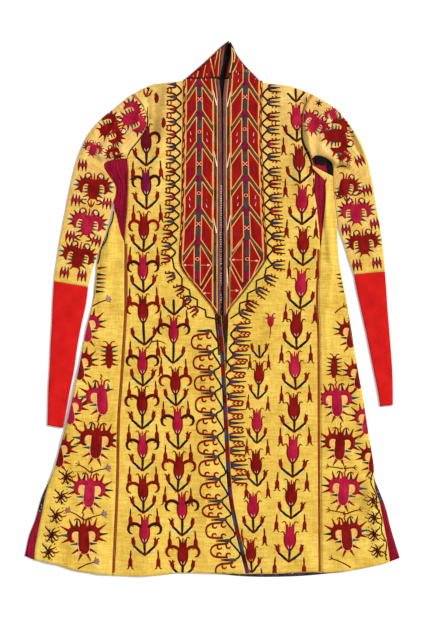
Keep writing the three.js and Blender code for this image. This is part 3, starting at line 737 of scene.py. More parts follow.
def armhole_places(seam, side):
    nominal = SHOULDER + (UNDERARM - SHOULDER) * ACROSS_SHARE
    across = np.array([float(point_on(seam, n, front_hem)) for n in nominal])
    return np.stack([across + side * SEAM_GAP, depth_of(nominal, across, front_hem)], axis=-1)


def tube_places(rows, armhole):
    """Plan places of every section of a tube, spaced evenly along it."""
    table = np.array(rows, float)
    if armhole is not None:
        table = np.vstack([[*armhole[0], *armhole[-1]], table])
    middle = (table[:, :2] + table[:, 2:]) / 2
    gone = np.concatenate([[0], np.cumsum(np.hypot(*np.diff(middle, axis=0).T))])
    columns = [line(*zip(gone, table[:, c])) for c in range(4)]
    stations = np.linspace(0, gone[-1], int(gone[-1] / TUBE_STEP) + 1)
    bow_end = gone[BOW_SECTIONS] if armhole is not None else 1.0
    out = []
    for s in stations:
        outer = np.array([columns[0](s), columns[1](s)])
        inner = np.array([columns[2](s), columns[3](s)])
        places = outer + (inner - outer) * ACROSS_SHARE[:, None]
        if armhole is not None:
            chord = armhole[0] + (armhole[-1] - armhole[0]) * ACROSS_SHARE[:, None]
            share = 1.0 if s == 0 else (1 - smooth(s / bow_end)) * 0.9
            places = places + share * (armhole - chord)
        out.append(places)
    return np.array(out), stations


def rings(places, top, low):
    """Joins the upper and the lower wall of every section to a ring."""
    upper, under = (to_metres(places[..., 0], places[..., 1], height) for height in (top, low))
    return np.concatenate([upper, under[:, -2:0:-1]], axis=1)


def tube_piece(name, rows, material, armhole, seed):
    """A sleeve or a cuff: an outer and an inner wall round the tube, open at both ends."""
    places, stations = tube_places(rows, armhole)
    sections, count = places.shape[:2]
    across, down = places[..., 0], places[..., 1]
    middle = FRONT_TOP / 2
    round_top = np.sqrt(1 - np.abs(2 * ACROSS_SHARE - 1) ** 6)
    round_low = np.sqrt(1 - np.abs(2 * ACROSS_SHARE - 1) ** 12)
    form = fold_height(across, down)
    if name.startswith("sleeve"):
        form = form + small_form(across, down + seed)
    else:
        form = form + 0.8 * pucker(across, down, seed)
    top = middle + middle * round_top + form * round_top
    low = middle - middle * round_low * np.ones((sections, 1))
    inset = np.where(ACROSS_SHARE < 0.5, 1, -1) * 1.2 * (np.abs(2 * ACROSS_SHARE - 1) ** 4)
    width = np.hypot(*(places[:, -1] - places[:, 0]).T)
    shift = (places[:, -1] - places[:, 0]) / width[:, None]
    inner_places = places + shift[:, None, :] * inset[None, :, None]
    outer = rings(places, top, low)
    inner = rings(inner_places, middle + (top - middle) * 0.6, middle - (middle - low) * 0.6)
    ring = outer.shape[1]
    total = sections * ring
    faces = []
    for s in range(sections - 1):
        for i in range(ring):
            j = (i + 1) % ring
            a, b, c, d = s * ring + i, s * ring + j, (s + 1) * ring + j, (s + 1) * ring + i
            faces.append((a, d, c, b))
            faces.append((total + a, total + b, total + c, total + d))
    end = (sections - 1) * ring
    for i in range(ring):
        j = (i + 1) % ring
        faces.append((i, j, total + j, total + i))
        faces.append((end + j, end + i, total + end + i, total + end + j))
    girth = np.concatenate([ACROSS_SHARE, 2 - ACROSS_SHARE[-2:0:-1]])
    uv = np.stack([girth[None, :] * width[:, None] * MM,
                   np.repeat(stations[:, None], ring, axis=1) * MM], axis=-1).reshape(-1, 2)
    verts = np.concatenate([outer.reshape(-1, 3), inner.reshape(-1, 3)])
    if name.endswith("_right_cloth"):
        faces = [face[::-1] for face in faces]
    pieces[name] = new_object(name, verts, faces, np.concatenate([uv, uv]), [material])
    cloth_tops[name] = (to_metres(across, down, top).reshape(-1, 3), grid_faces(sections, count))


# %% Sleeves and cuffs
for name, material, armhole, seed in (
    ("sleeve_left", YELLOW_SILK, armhole_places(seam_left, -1), 30.0),
    ("sleeve_right", YELLOW_SILK, armhole_places(seam_right, 1), 60.0),
    ("cuff_left", SCARLET_WOOL, None, 2.0), ("cuff_right", SCARLET_WOOL, None, 5.0),
):
    tube_piece(name + "_cloth", SECTION_ROWS[name], material, armhole, seed)
print("tubes are in, in all:", len(pieces))

# %% [markdown]
# ## Collar, breast panels and opening braids
# These are the most thickly worked parts of the cloak. Each is a layer of stitching with its own
# thickness, which lies on the cloth below it. The braids are two plies twisted together.

# %% Raised layers
RAISE_PANEL = SEAM_GAP + STITCH_WALL
RAISE_BRAID = SEAM_GAP + BRAID_WALL
COLLAR_WALL = SILK_WALL + SEAM_GAP + STITCH_WALL
PLY_TURN = 7.0


def stitched_ground():
    """The ground of the breast panels: dark red floss in close rows."""
    f = Finish("stitched_ground", roughness=0.65, specular=0.1)
    row = f.noise((60, 900, 1), detail=4.0)
    colour = f.ramp(row, [(0.36, "3E0504"), (0.5, "640A07"), (0.64, "84140E")])
    return f.finish(colour, row, strength=0.5, distance=0.0006)


def plied_braid():
    f = Finish("plied_braid", roughness=0.6, sheen=0.02, specular=0.15)
    ply = f.wave((300, 220, 0), "DIAGONAL", distortion=0.5)
    tone = f.noise((60, 30, 1), detail=4.0)
    both = f.add(f.add(ply, 0.35, "MULTIPLY"), f.add(tone, 0.65, "MULTIPLY"))
    colour = f.ramp(both, [(0.3, "3C2022"), (0.48, "6E3E3C"), (0.66, "9A645C")])
    return f.finish(colour, ply, strength=0.7, distance=0.0006)


GROUND = stitched_ground()
BRAID = plied_braid()


def raised(top, rise):
    return lambda across, down, left, right: top(across, down, left, right) + rise


def braid_top(top):
    def height(across, down, left, right):
        u = (across - left) / (right - left)
        crown = 1 - (2 * u - 1) ** 4
        ply = np.abs(np.sin(math.pi * (down / PLY_TURN + u)))
        return top(across, down, left, right) + RAISE_BRAID - 0.9 + 0.9 * crown + 0.5 * crown * ply
    return height


yoke_rows = rows_between(SHOULDER - 3, YOKE_POINT - 1, 5)
braid_rows = rows_between(SHOULDER, YOKE_POINT - 1, 1.6)
for name, rows, lines, cells, top, wall, material in (
    ("yoke_left_cloth", yoke_rows, [yoke_side_left, braid_side_left], 20,
     raised(lapped_top, RAISE_PANEL), STITCH_WALL, GROUND),
    ("yoke_right_cloth", yoke_rows, [braid_side_right, yoke_side_right], 20,
     raised(front_top, RAISE_PANEL), STITCH_WALL, GROUND),
    ("braid_left_cloth", braid_rows, [braid_side_left, opening_left], 6,
     braid_top(lapped_top), BRAID_WALL - 0.4, BRAID),
    ("braid_right_cloth", braid_rows, [opening_right, braid_side_right], 6,
     braid_top(front_top), BRAID_WALL - 0.4, BRAID),
):
    cloth_sheet(name, panel_grid(rows, lines, [cells], top), wall, material)


def collar_top(across, down, left, right):
    return FRONT_BASE + COLLAR_WALL + fold_height(across, down) + 0.4 * pucker(across, down, 3.0)


COLLAR_FOOT = COLLAR_SEAM - 2.5


def collar_grid(start, lines):
    """A collar half: its rows bend towards the foot until they meet the head of the panel."""
    rows = rows_between(start, COLLAR_FOOT, 3)
    across, down, height = panel_grid(rows, lines, [22], collar_top, free=True)
    down = down + smooth((down - 30) / (COLLAR_FOOT - 30)) * (shoulder_line(across) - 3.3 - COLLAR_FOOT)
    return across, down, height


cloth_sheet("collar_left_cloth", collar_grid(0, [collar_outer_left, collar_inner_left]), COLLAR_WALL, GROUND)
cloth_sheet("collar_right_cloth", collar_grid(3, [collar_inner_right, collar_outer_right]), COLLAR_WALL,
            GROUND)
cloth_sheet("collar_back_cloth",
            panel_grid(rows_between(3, 82, 6),
                       [lambda d: collar_outer_left(d) + 0.6, lambda d: collar_outer_right(d) - 0.6],
                       [14], BACK, free=True), SILK_WALL, GROUND, under_flat=0.0,
            face_material=CHARCOAL_LINING)
print("cloth pieces:", len(pieces))

# %% [markdown]
# ## A way to lay stitches
# Lacing stitch is worked in lines and in small filled shapes. `stroke` lays one line of thread
# with a width that may change along it, and `fill` covers a closed shape. Both stand a little
# above the cloth in the middle and sink into it at the edge. When a motif is done, every point
# drops onto the cloth below it, so the stitches follow the folds.

# %% Lines and fills of thread
EDGE_RISE = 0.14
END_MARGIN, SIDE_MARGIN = 1.2, 0.6
LINE_STEP = 2.6
RIM_STEP = 3.0


def stepped(points, closed, step, sharp):
    """A line through the points in even short steps, curved or, when sharp, straight between
    them. Also says how far along the points each step is."""
    pts = np.array(points, float)
    count = len(pts)
    spans = count if closed else count - 1
    out, where = [], []
    for i in range(spans):
        near = [i + k if closed else min(max(i + k, 0), count - 1) for k in (-1, 0, 1, 2)]
        p0, p1, p2, p3 = (pts[k % count] for k in near)
        parts = max(1, int(math.ceil(np.hypot(*(p2 - p1)) / step)))
        for k in range(parts):
            t = k / parts
            curve = 0.5 * (2 * p1 + (p2 - p0) * t + (2 * p0 - 5 * p1 + 4 * p2 - p3) * t ** 2
                           + (3 * p1 - p0 - 3 * p2 + p3) * t ** 3)
            out.append(p1 + (p2 - p1) * k / parts if sharp else curve)
            where.append(i + t)
    if not closed:
        out.append(pts[-1])
        where.append(spans)
    return np.array(out), np.array(where)


class Stitching:
    """Thread shapes of one joined piece. Shapes are drawn in a frame: x right, y up, in mm."""

    def __init__(self):
        self.places, self.rises, self.uvs, self.faces, self.threads = [], [], [], [], []
        self.count = 0
        self.at(0, 0)

    def at(self, across, down, turn=0.0, size=1.0, mirror=1, weight=1.0):
        c, s = math.cos(math.radians(turn)), math.sin(math.radians(turn))
        self.origin = np.array([across, down], float)
        self.size = size
        self.weight = weight
        self.axes = size * np.array([[c * mirror, -s], [-s * mirror, -c]])
        return self

    def add(self, places, rises, uvs, faces, thread):
        self.places.append(places)
        self.rises.append(rises)
        self.uvs.append(uvs)
        self.faces += [tuple(self.count + i for i in face) for face in faces]
        self.threads += [thread] * len(faces)
        self.count += len(places)

    def stroke(self, thread, points, width, rise=0.5, closed=False, sharp=False):
        world = self.origin + np.array(points, float) @ self.axes.T
        path, where = stepped(world, closed, LINE_STEP, sharp)
        widths = np.broadcast_to(np.asarray(width, float), (len(points),)) * self.size * self.weight
        if closed:
            widths = np.append(widths, widths[0])
        half = np.interp(where, np.arange(len(widths)), widths) / 2
        if closed:
            ahead = np.roll(path, -1, axis=0) - np.roll(path, 1, axis=0)
        else:
            ahead = np.gradient(path, axis=0)
        ahead /= np.maximum(np.hypot(*ahead.T), 1e-9)[:, None]
        aside = np.stack([-ahead[:, 1], ahead[:, 0]], axis=1)
        broad = half.max() > 1.6
        offsets = np.array([-1, -0.55, 0, 0.55, 1] if broad else [-1, 0, 1])
        heights = np.array([0, 0.8, 1, 0.8, 0] if broad else [0, 1, 0])
        n, m = len(path), len(offsets)
        places = path[:, None, :] + aside[:, None, :] * (half[:, None] * offsets)[:, :, None]
        low = np.minimum(1, half / 1.2)
        rises = EDGE_RISE + rise * low[:, None] * heights[None, :]
        gone = np.concatenate([[0], np.cumsum(np.hypot(*np.diff(path, axis=0).T))])
        uvs = np.stack([np.repeat(gone[:, None], m, axis=1), half[:, None] * offsets], axis=-1) * MM
        uvs = uvs + [self.count * 0.013 % 1.0, 0.0]
        faces = []
        for i in range(n if closed else n - 1):
            j = (i + 1) % n
            for k in range(m - 1):
                faces.append((i * m + k, j * m + k, j * m + k + 1, i * m + k + 1))
        self.add(places.reshape(-1, 2), rises.ravel(), uvs.reshape(-1, 2), faces, thread)

    def fill(self, thread, outline, rise=0.5, grain=90.0, sharp=False):
        world = self.origin + np.array(outline, float) @ self.axes.T
        rim, _ = stepped(world, True, RIM_STEP, sharp)
        centre = rim.mean(axis=0)
        rings = [(1.0, 0.0), (0.86, 0.85), (0.45, 1.0)]
        n = len(rim)
        places = np.vstack([centre + (rim - centre) * share for share, _ in rings] + [centre[None]])
        rises = EDGE_RISE + rise * np.concatenate([[height] * n for _, height in rings] + [[1.0]])
        turn = math.radians(grain)
        along = np.array([math.cos(turn), math.sin(turn)])
        aside = np.array([-along[1], along[0]])
        uvs = np.stack([places @ along, places @ aside], axis=-1) * MM
        faces = []
        for r in range(len(rings) - 1):
            for i in range(n):
                j = (i + 1) % n
                faces.append((r * n + i, r * n + j, (r + 1) * n + j, (r + 1) * n + i))
        last = (len(rings) - 1) * n
        faces += [(last + i, last + (i + 1) % n, len(places) - 1) for i in range(n)]
        self.add(places, rises, uvs, faces, thread)

    def lay(self, name, on, sides=None, ends=None):
        """Drops the shapes onto the named cloth pieces and makes the joined mesh."""
        tree = surface_of(on)
        places = np.concatenate(self.places)
        rises = np.concatenate(self.rises)
        if ends is not None:
            upper, lower = (end(places[:, 0]) for end in ends)
            places[:, 1] = np.clip(places[:, 1], upper + END_MARGIN, lower - END_MARGIN)
        if sides is not None:
            left, right = (side(places[:, 1]) for side in sides)
            places[:, 0] = np.clip(places[:, 0], left + SIDE_MARGIN, right - SIDE_MARGIN)
        points = to_metres(places[:, 0], places[:, 1], np.zeros(len(places)))
        heights = np.array([height_on(tree, p) for p in points])
        points[:, 2] = heights + rises * MM
        corner = np.array([face if len(face) == 4 else (*face, face[0]) for face in self.faces])
        a, b, c, d = (points[corner[:, i]][:, :2] for i in range(4))
        area = np.abs(np.cross(c - a, d - b)) / 2
        kept = (area > 1e-9) & np.isfinite(heights[corner]).all(axis=1)
        used = np.unique(corner[kept])
        renumber = np.full(len(points), -1)
        renumber[used] = np.arange(len(used))
        faces = [tuple(int(renumber[i]) for i in face) for face, keep in zip(self.faces, kept) if keep]
        threads = [thread for thread, keep in zip(self.threads, kept) if keep]
        names = sorted(set(threads))
        turned = []
        for face in faces:
            p, q, r = (points[used[i]] for i in face[:3])
            up = (q[0] - p[0]) * (r[1] - p[1]) - (q[1] - p[1]) * (r[0] - p[0])
            turned.append(face if up > 0 else face[::-1])
        pieces[name] = new_object(name, points[used], turned, np.concatenate(self.uvs)[used],
                                  [FLOSS[n] for n in names], [names.index(t) for t in threads])
        print(name, "faces:", len(faces))


def surface_of(names):
    verts, faces = [], []
    for name in names:
        start = len(verts)
        top, quads = cloth_tops[name]
        verts += [tuple(v) for v in top]
        faces += [tuple(start + i for i in quad) for quad in quads]
    return BVHTree.FromPolygons(verts, faces)


DOWNWARD = Vector((0, 0, -1))
NEAR_MISSES = [(0, 0), (0.0007, 0), (-0.0007, 0), (0, 0.0012), (0, -0.0012)]


def height_on(tree, point):
    for dx, dy in NEAR_MISSES:
        hit = tree.ray_cast(Vector((point[0] + dx, point[1] + dy, 0.1)), DOWNWARD)[0]
        if hit is not None:
            return hit.z
    return float("nan")


# %% [markdown]
# ## The tulip
# The tulip is the main flower of these cloaks. It has a tall body, three points with curled
# tips, two horns at the sides, and below it a stem with a pair of leaves and small buds.

# %% Tulip with horns
SHADES = {
    # body, petals, horns
    "w": ("wine", "rim", "rim"), "m": ("magenta", "crimson", "plum"), "c": ("crimson", "rim", "crimson"),
    "d": ("crimson", "rim", "rim"), "p": ("rose", "rim", "plum"),
}


def pair(stitching, thread, points, width, rise=0.5):
    """The same line on the right and, mirrored, on the left."""
    stitching.stroke(thread, points, width, rise)
    stitching.stroke(thread, [(-x, y) for x, y in points], width, rise)


def beside(side, points):
    return [(x * side, y) for x, y in points]


def above(side, points):
    return [(x, y * side) for x, y in points]


def mirrored(points):
    """A closed outline from its right half, which starts and ends on the middle."""
    return points + [(-x, y) for x, y in reversed(points) if abs(x) > 0.01]


TULIP_BODY = mirrored([(0, 30), (1.8, 22), (3.0, 20), (5.4, 29), (8.6, 25), (9.0, 8), (11.8, 3), (12.6, -6),
                       (11.6, -15), (7.6, -23.5), (3.6, -29), (0, -33)])


def bud(s, x, y, lean):
    """An upright bud that forks at its tip."""
    s.stroke("crimson", [(x - 1.5 * lean, y - 3), (x + 2 * lean, y + 5), (x + 4 * lean, y + 12)],
             [4.2, 9.6, 7.6], 0.6)
    s.stroke("rim", [(x + 5 * lean, y + 9), (x + 9 * lean, y + 15), (x + 13 * lean, y + 15)],
             [4.6, 3.2, 1.8], 0.4)
    s.stroke("rim", [(x + 2 * lean, y + 9), (x + 0.5 * lean, y + 18)], [4.6, 2.4], 0.4)
    s.stroke("rim", [(x + 2 * lean, y + 9), (x - 3.5, y + 15)], [3.2, 1.8], 0.4)


def hanging_bud(s, x, y, lean):
    s.stroke("rim", [(x, y), (x + 2 * lean, y - 9), (x + 3 * lean, y - 20)], [1.8, 4.2, 3.2], 0.45)
    x += 3 * lean
    s.stroke("crimson", [(x, y - 17), (x, y - 23), (x, y - 32), (x, y - 36)], [4, 9.5, 9.5, 6.4], 0.6)
    for side in (-1, 1):
        s.stroke("rim", [(x + 3 * side, y - 33), (x + 4 * side, y - 40), (x + 8 * side, y - 42)],
                 [4.2, 2.8, 1.6], 0.4)


def tulip(s, shade, horns, reach, spread, longer):
    body, petal, horn = SHADES[shade]
    if horns:
        pair(s, horn, [(7, 4), (14 * spread, 10.5), (22 * spread, 12), (29 * spread, 8),
                       (31.5 * spread, 0), (29 * spread, -8), (23.5 * spread, -11)],
             [7, 7.6, 7.4, 7, 6.4, 5, 2], 0.9)
    slim = 0.8 if horns else 0.95
    s.fill(body, [(x * slim, y) for x, y in TULIP_BODY], 0.7, sharp=True)
    pair(s, petal, [(x * slim, y) for x, y in ((12.4, 6), (13.4, -5), (12.4, -15), (8.0, -24.5), (0.6, -34))],
         [2.6, 3.2, 3.6, 3.4, 2.8], 0.8)
    pair(s, petal, [(x * slim, y) for x, y in ((9.2, 6), (9.0, 15), (9.2, 25), (11.0, 31), (14.6, 33),
                                               (19.6, 30))], [2.4, 2.6, 3.0, 2.8, 2.4, 1.6], 0.7)
    if not horns:
        pair(s, petal, [(12.4, 4), (14.0, 9), (17.6, 10.5), (21, 8)], [3.4, 3.2, 2.8, 1.6], 0.6)
    s.stroke(petal, [(0, 20), (0, 26), (0, 32)], [3.4, 3.0, 1.8])
    pair(s, "pale", [(4.8, -20), (3.0, -24.0), (0.8, -28.0)], [1.4, 2.6, 1.8], 1.0)
    stalk(s, reach, longer=longer)


def stalk(s, reach=25.0, full=True, longer=0.0):
    """The stem, its two leaves and the buds; a short one has only the buds on its right."""
    s.stroke("black", [(0, -22), (0, -32 - 0.5 * longer), (0.6, -46 - longer)], [4.4, 6.0, 5.4], 0.8)
    s.stroke("rim", [(0.6, -45 - longer), (1.2, -57 - longer)], [4.6, 5.0], 0.6)
    wide, low = 0.9 * reach, -longer
    for side in (1, -1):
        s.stroke("rim", [(1, low - 58), (1 + 6 * side, low - 52.5)], [4.2, 5.0], 0.6)
        s.stroke(("green", "black")[side > 0],
                 [(1 + 5.6 * side, low - 53), (0.6 * wide * side, low - 46), (wide * side, low - 37)],
                 [5.4, 6.4, 5.0], 0.7)
        s.stroke("pale", [(0.6 * wide * side, low - 50), (wide * side, low - 42.5)], [1.2, 2.2], 0.6)
    bud(s, wide, low - 35, 0.8)
    if full:
        bud(s, -wide, low - 35, -0.5)
        hanging_bud(s, -reach - 4, low - 47, -0.3)
    hanging_bud(s, reach + 4, low - 46, 0.4)


# %% [markdown]
# ## Combs, brackets and the vine
# Beside the breast panels and the edges of the fronts runs a dark vine. A small comb stands on
# it at each turn: a wedge in the middle, and a curled prong on each side.

# %% Comb and bracket
WEDGES = ["navy", "slate", "crimson", "slate", "magenta"]


def comb(s, turn_number, long=20.0):
    """One comb which points to +x, with its foot on the vine at the origin."""
    thread = WEDGES[turn_number % len(WEDGES)]
    s.stroke(thread, [(-1, 0), (4, 0), (long * 0.55, 0), (long * 0.75, 0)], [4, 8, 6, 3], 0.6)
    s.stroke("black" if turn_number % 2 else "green", [(long * 0.4, 0), (long * 0.8, 0.2), (long, 0.4)],
             [3.6, 3.2, 2.0], 0.7)
    for side in (1, -1):
        s.stroke("rim", above(side, [(0, 3.4), (4, 6.8), (9, 8), (15, 8.2), (long * 1.06, 10)]),
                 [4.6, 5.0, 4.4, 4.0, 2.6], 0.6)
        for barb in ([(9, 8), (12, 11.6), (8.6, 13.2)], [(16, 8.6), (19.6, 12), (16.4, 14)]):
            s.stroke("crimson", above(side, barb), [3.2, 3.2, 2], 0.45)


def long_comb(s, turn_number):
    thread = ["navy", "slate"][turn_number % 2]
    s.stroke(thread, [(-1, 0), (4, 0), (14, 0), (24, 0)], [4, 9, 6.6, 4], 0.6)
    s.stroke("green", [(13, 0), (30, 0.4), (38, 0.8)], [4, 3.2, 2.2], 0.7)
    for side in (1, -1):
        s.stroke("crimson", above(side, [(1, 5), (8, 8.4), (20, 9.2), (30, 10.0), (33, 13), (28, 15)]),
                 [4.4, 4.8, 4.4, 4, 3.4, 2.2], 0.55)
        for barb, wide in (([(10, 8.4), (14, 12), (9, 14)], 3.4), ([(20, 9.4), (23, 13), (18, 14.6)], 3.4),
                           ([(1, 5), (-3, 8), (-6, 6.5)], 3.2)):
            s.stroke("crimson", above(side, barb), [3.6, wide, 2.2], 0.45)


def bracket(s, gap):
    """The arch between two combs, seen with the combs pointing to -x and the next one below."""
    s.stroke("crimson", [(-4, -6), (-16, -7.5), (-30, -9), (-40, -14), (-44, -0.5 * gap), (-41, 12 - gap),
                         (-30, 7 - gap), (-5, 6 - gap)], [5, 5.4, 5.2, 4.8, 3.8, 4.6, 5.2, 5], 0.6)
    for x, y, dy in ((-29, -9, -8.6), (-30, 7 - gap, 7.6), (-9, -7, -8.6), (-9, 6 - gap, 7.6)):
        s.stroke("crimson", [(x, y), (x + 1, y + dy), (x + 7, y + dy * 1.15), (x + 10, y + dy * 0.7)],
                 [4.2, 4.4, 4, 2.2])
    s.stroke("slate", [(3, 0), (-5, 0), (-16, 0)], [5, 9, 5.4], 0.6)
    s.stroke("green", [(-12, 1.2), (-24, 1.2), (-32, 1.4)], [3.6, 2.4, 1.6], 0.6)
    s.stroke("green", [(-12, -1.4), (-24, -1.4), (-32, -1.8)], [3.6, 2.4, 1.6], 0.6)


def vine(s, foot, swing, rows, share=0.5):
    """A line that waves through the comb feet and swings towards the panel between them."""
    points = []
    for here, after in zip(rows, rows[1:]):
        between = here + (after - here) * share
        points += [(foot(here), -here), (swing(between), -between)]
    points.append((foot(rows[-1]), -rows[-1]))
    s.at(0, 0).stroke("black", points, 4.2)


# %% [markdown]
# ## Flowers of the gores
# The side gores carry a second flower, with thorns all round its horns. Crescents with thorns
# lie along the edges, and small thorny insects and twigs fill what is left.

# %% Thorny flower and crescent
def thorn(s, x, y, dx, dy, thread, base=8.6):
    """A pointed tooth; a green one has a pale thread beside it."""
    s.stroke(thread, [(x, y), (x + dx * 0.5, y + dy * 0.5), (x + dx, y + dy)], [base, base * 0.55, 0.9], 0.6)
    if thread in ("green", "teal"):
        aside = 4.4 / math.hypot(dx, dy)
        beside_it = [(x + dx * 0.3 - dy * aside, y + dy * 0.3 + dx * aside),
                     (x + dx * 0.7 - dy * aside * 0.7, y + dy * 0.7 + dx * aside * 0.7)]
        s.stroke("pale", beside_it, [1.5, 1.0], 0.6)


THORNY_BODY = mirrored([(0, 42), (2.2, 33), (3.4, 31), (6.4, 42), (8.6, 37), (8, 23), (11, 16), (12.4, 8),
                        (13.0, -16), (11.4, -30), (6, -37), (0, -39)])
HORN = [(5, 16), (13, 20.5), (23, 20.5), (31, 13), (32.5, 2), (28, -7), (21.5, -8)]
HORN_WIDTHS = [12, 13.5, 14, 13, 11, 8, 3]
INNER_LINE = [(1, -38.5), (9, -35), (13.8, -22), (13.8, 4), (17, 12), (23, 12), (26, 5), (22, 0), (19, 5)]
THORNS = [(16, 24, -3, 22, "green"), (25, 24, 7, 20, "crimson"), (33, 16, 20, 13, "crimson"),
          (36, 6, 21, 1, "teal"), (34, -3, 18, -8, "crimson"), (12, -14, 19, -1, "teal"),
          (12, -27, 18, -10, "crimson"), (5, -35, 10, -19, "crimson")]


def thorny(s, main, left=True, right=True):
    for side, drawn in ((-1, left), (1, right)):
        if drawn:
            s.stroke(main, beside(side, HORN), HORN_WIDTHS, 0.9)
            for x, y, dx, dy, thread in THORNS:
                swap = {"green": "crimson", "teal": "green"} if side > 0 else {}
                thorn(s, x * side, y, dx * side, dy, swap.get(thread, thread))
        else:
            thorn(s, 9 * side, 18, 20 * side, 3, "crimson")
            thorn(s, 16 * side, 21, 0, 15, "teal")
    s.fill(main, THORNY_BODY, 0.8, sharp=True)
    if left and right:
        pair(s, "pale", [(16, -31), (20, -40)], [3.0, 0.9])
    for side, drawn in ((-1, left), (1, right)):
        if drawn:
            s.stroke("blush", beside(side, INNER_LINE), 2.3, 0.9)
        s.stroke("crimson", beside(side, [(6.4, 33), (9, 41), (17, 43), (20, 38)]),
                 [4.2, 3.6, 3.2, 1.6], 0.6)
    s.stroke("navy", [(-0.5, -20), (0, -25)], [5, 5], 1.0)
    s.stroke("brown", [(0, 36), (2.4, 42), (-1.4, 47), (2.4, 52), (-0.6, 58)], 3.0)


# %% Flower of the sleeves
SLEEVE_BODY = mirrored([(0, 28), (2.4, 18), (4, 17), (7.0, 26), (9.4, 17), (13.4, 11), (14.4, -8),
                        (11.6, -22), (6, -28), (0, -29)])
ARM_THORNS = [(114, "crimson"), (86, "green"), (58, "crimson"), (30, "crimson"), (2, "teal"),
              (-26, "crimson")]


def sleeve_flower(s, main, left=True, right=True):
    """A low wide flower: two thick arms close to the body, with short thorns all round them."""
    for side, drawn in ((-1, left), (1, right)):
        if not drawn:
            continue
        s.stroke(main, beside(side, [(6, 8), (14, 13), (24, 12), (30, 4), (30, -6), (26, -15)]),
                 [12, 14.5, 14.5, 13.5, 11, 3], 0.9)
        for angle, thread in ARM_THORNS:
            c, d = math.cos(math.radians(angle)), math.sin(math.radians(angle))
            thorn(s, (20 + 14 * c) * side, 2 + 15 * d, 14 * c * side, 13 * d, thread, 8.4)
        for i, y in enumerate((1, -5)):
            s.stroke(("rim", "green")[i], [(13 * side, y), (22 * side, y + 0.5)], [3.4, 2], 1.1)
    s.fill(main, SLEEVE_BODY, 0.8, sharp=True)
    pair(s, "crimson", [(6.8, 22), (9.4, 30), (16, 32), (21, 28)], [4.4, 3.8, 3.2, 1.6], 0.6)
    for x, y, dx, dy in ((31, -17, 5, -6), (19, -26, 4, -8), (12, 24, 1, 7), (41, 8, 6, 2)):
        if right:
            s.stroke("pale", [(x, y), (x + dx, y + dy)], [3.6, 1.0])
        if left:
            s.stroke("pale", [(-x, y), (-x - dx, y + dy)], [3.6, 1.0])
    s.stroke("crimson", [(0, 20), (0, 34)], [4.4, 1.2])
    for x, y, dx, dy, c in ((13, -12, 12, -1, "teal"), (12, -19, 12, -6, "crimson"),
                            (6, -25, 7, -11, "crimson")):
        for side in (1, -1):
            thorn(s, x * side, y, dx * side, dy, c, 6.6)


def fishbone(s, beak=0):
    """A short magenta bar with three thorns up and three down, sometimes with an open beak."""
    s.stroke("magenta", [(-11, 0), (0, 0.6), (11, 0)], [7, 8.5, 7], 0.7)
    for i, x in enumerate((-8, 0.5, 8.5)):
        thorn(s, x, 1, 1 - i, 14, ("crimson", "green", "crimson")[i], 7.4)
        thorn(s, x, -1, i - 1, -14, ("crimson", "black", "crimson")[i], 7.4)
    if beak:
        for half in ([(12, 0), (18, 4), (26, 5)], [(12, 0), (18, -4.6), (26, -6)]):
            s.stroke("rim", beside(beak, half), [4.4, 4, 1.8])


def open_leaf(s):
    """A pointed leaf worked only in its outline."""
    s.stroke("rim", [(-11, -3), (-2, 4), (11, 4)], [2.4, 3.6, 1.4])
    s.stroke("black", [(-11, -3), (1, -5), (11, 4)], [2.4, 3.6, 1.4])


def star(s):
    """A small black star of six points."""
    for turn in np.linspace(0.3, 0.3 + math.pi, 4)[:3]:
        c, d = 8.5 * math.cos(turn), 8.5 * math.sin(turn)
        s.stroke("black", [(-c, -d), (0, 0), (c, d)], [1.4, 4.0, 1.4])


def fork(s):
    s.stroke("brown", [(0, -8), (0, 9)], [4.6, 2])
    pair(s, "brown", [(0, -8), (5, -2), (7.5, 6)], [4.2, 3.4, 1.6])


# %% Insect, spider and twig
def insect(s):
    s.stroke("crimson", [(0, 27), (0, 12), (0, -12), (0, -28)], [6, 16, 17, 7], 0.9)
    s.stroke("navy", [(0, -4), (0, -10)], [3, 3], 1.05)
    pair(s, "rim", [(3, 26), (7, 32), (14, 32)], [3, 2.6, 1.4])
    for i, y in enumerate((19, 10, 1, -8, -17)):
        pair(s, ["crimson", "teal", "crimson", "green", "crimson"][i],
             [(6, y), (13, y + 1.6 - i), (20, y + 4 - 2 * i)], [6.4, 4, 1], 0.55)


SPIDER_LEGS = [
    # tip across, tip up, lean
    (-15, 17, 0), (3, 15, 3), (12, 11, 4), (18, 1, 5), (11, -9, 4), (3, -15, 3), (-9, -13, -3), (-14, -2, -4),
]


def spider(s):
    """A dark knot with eight legs: a long one, and seven which curl a little."""
    s.stroke("black", [(-4, -3), (0, 0), (4, 4)], [4.4, 8.4, 4.6], 0.7)
    for i, (x, y, lean) in enumerate(SPIDER_LEGS):
        s.stroke(("black", "rim", "black", "crimson")[i % 4],
                 [(0, 0), (x * 0.5 - lean * 0.4, y * 0.5 + 2.4), (x, y), (x + lean * 1.3, y + 4.4)],
                 [4.4, 3.8, 3.0, 1.2])
        s.stroke(("crimson", "rim")[i % 2], [(x * 0.6, y * 0.6), (x * 0.6 + 4.5, y * 0.6 - 4)], [3, 1.4])
    for x, y in ((12, 20), (17, 9), (-6, 12), (8, -17)):
        s.stroke("rim", [(x, y), (x + 2, y + 1.6)], [2.4, 2.0])


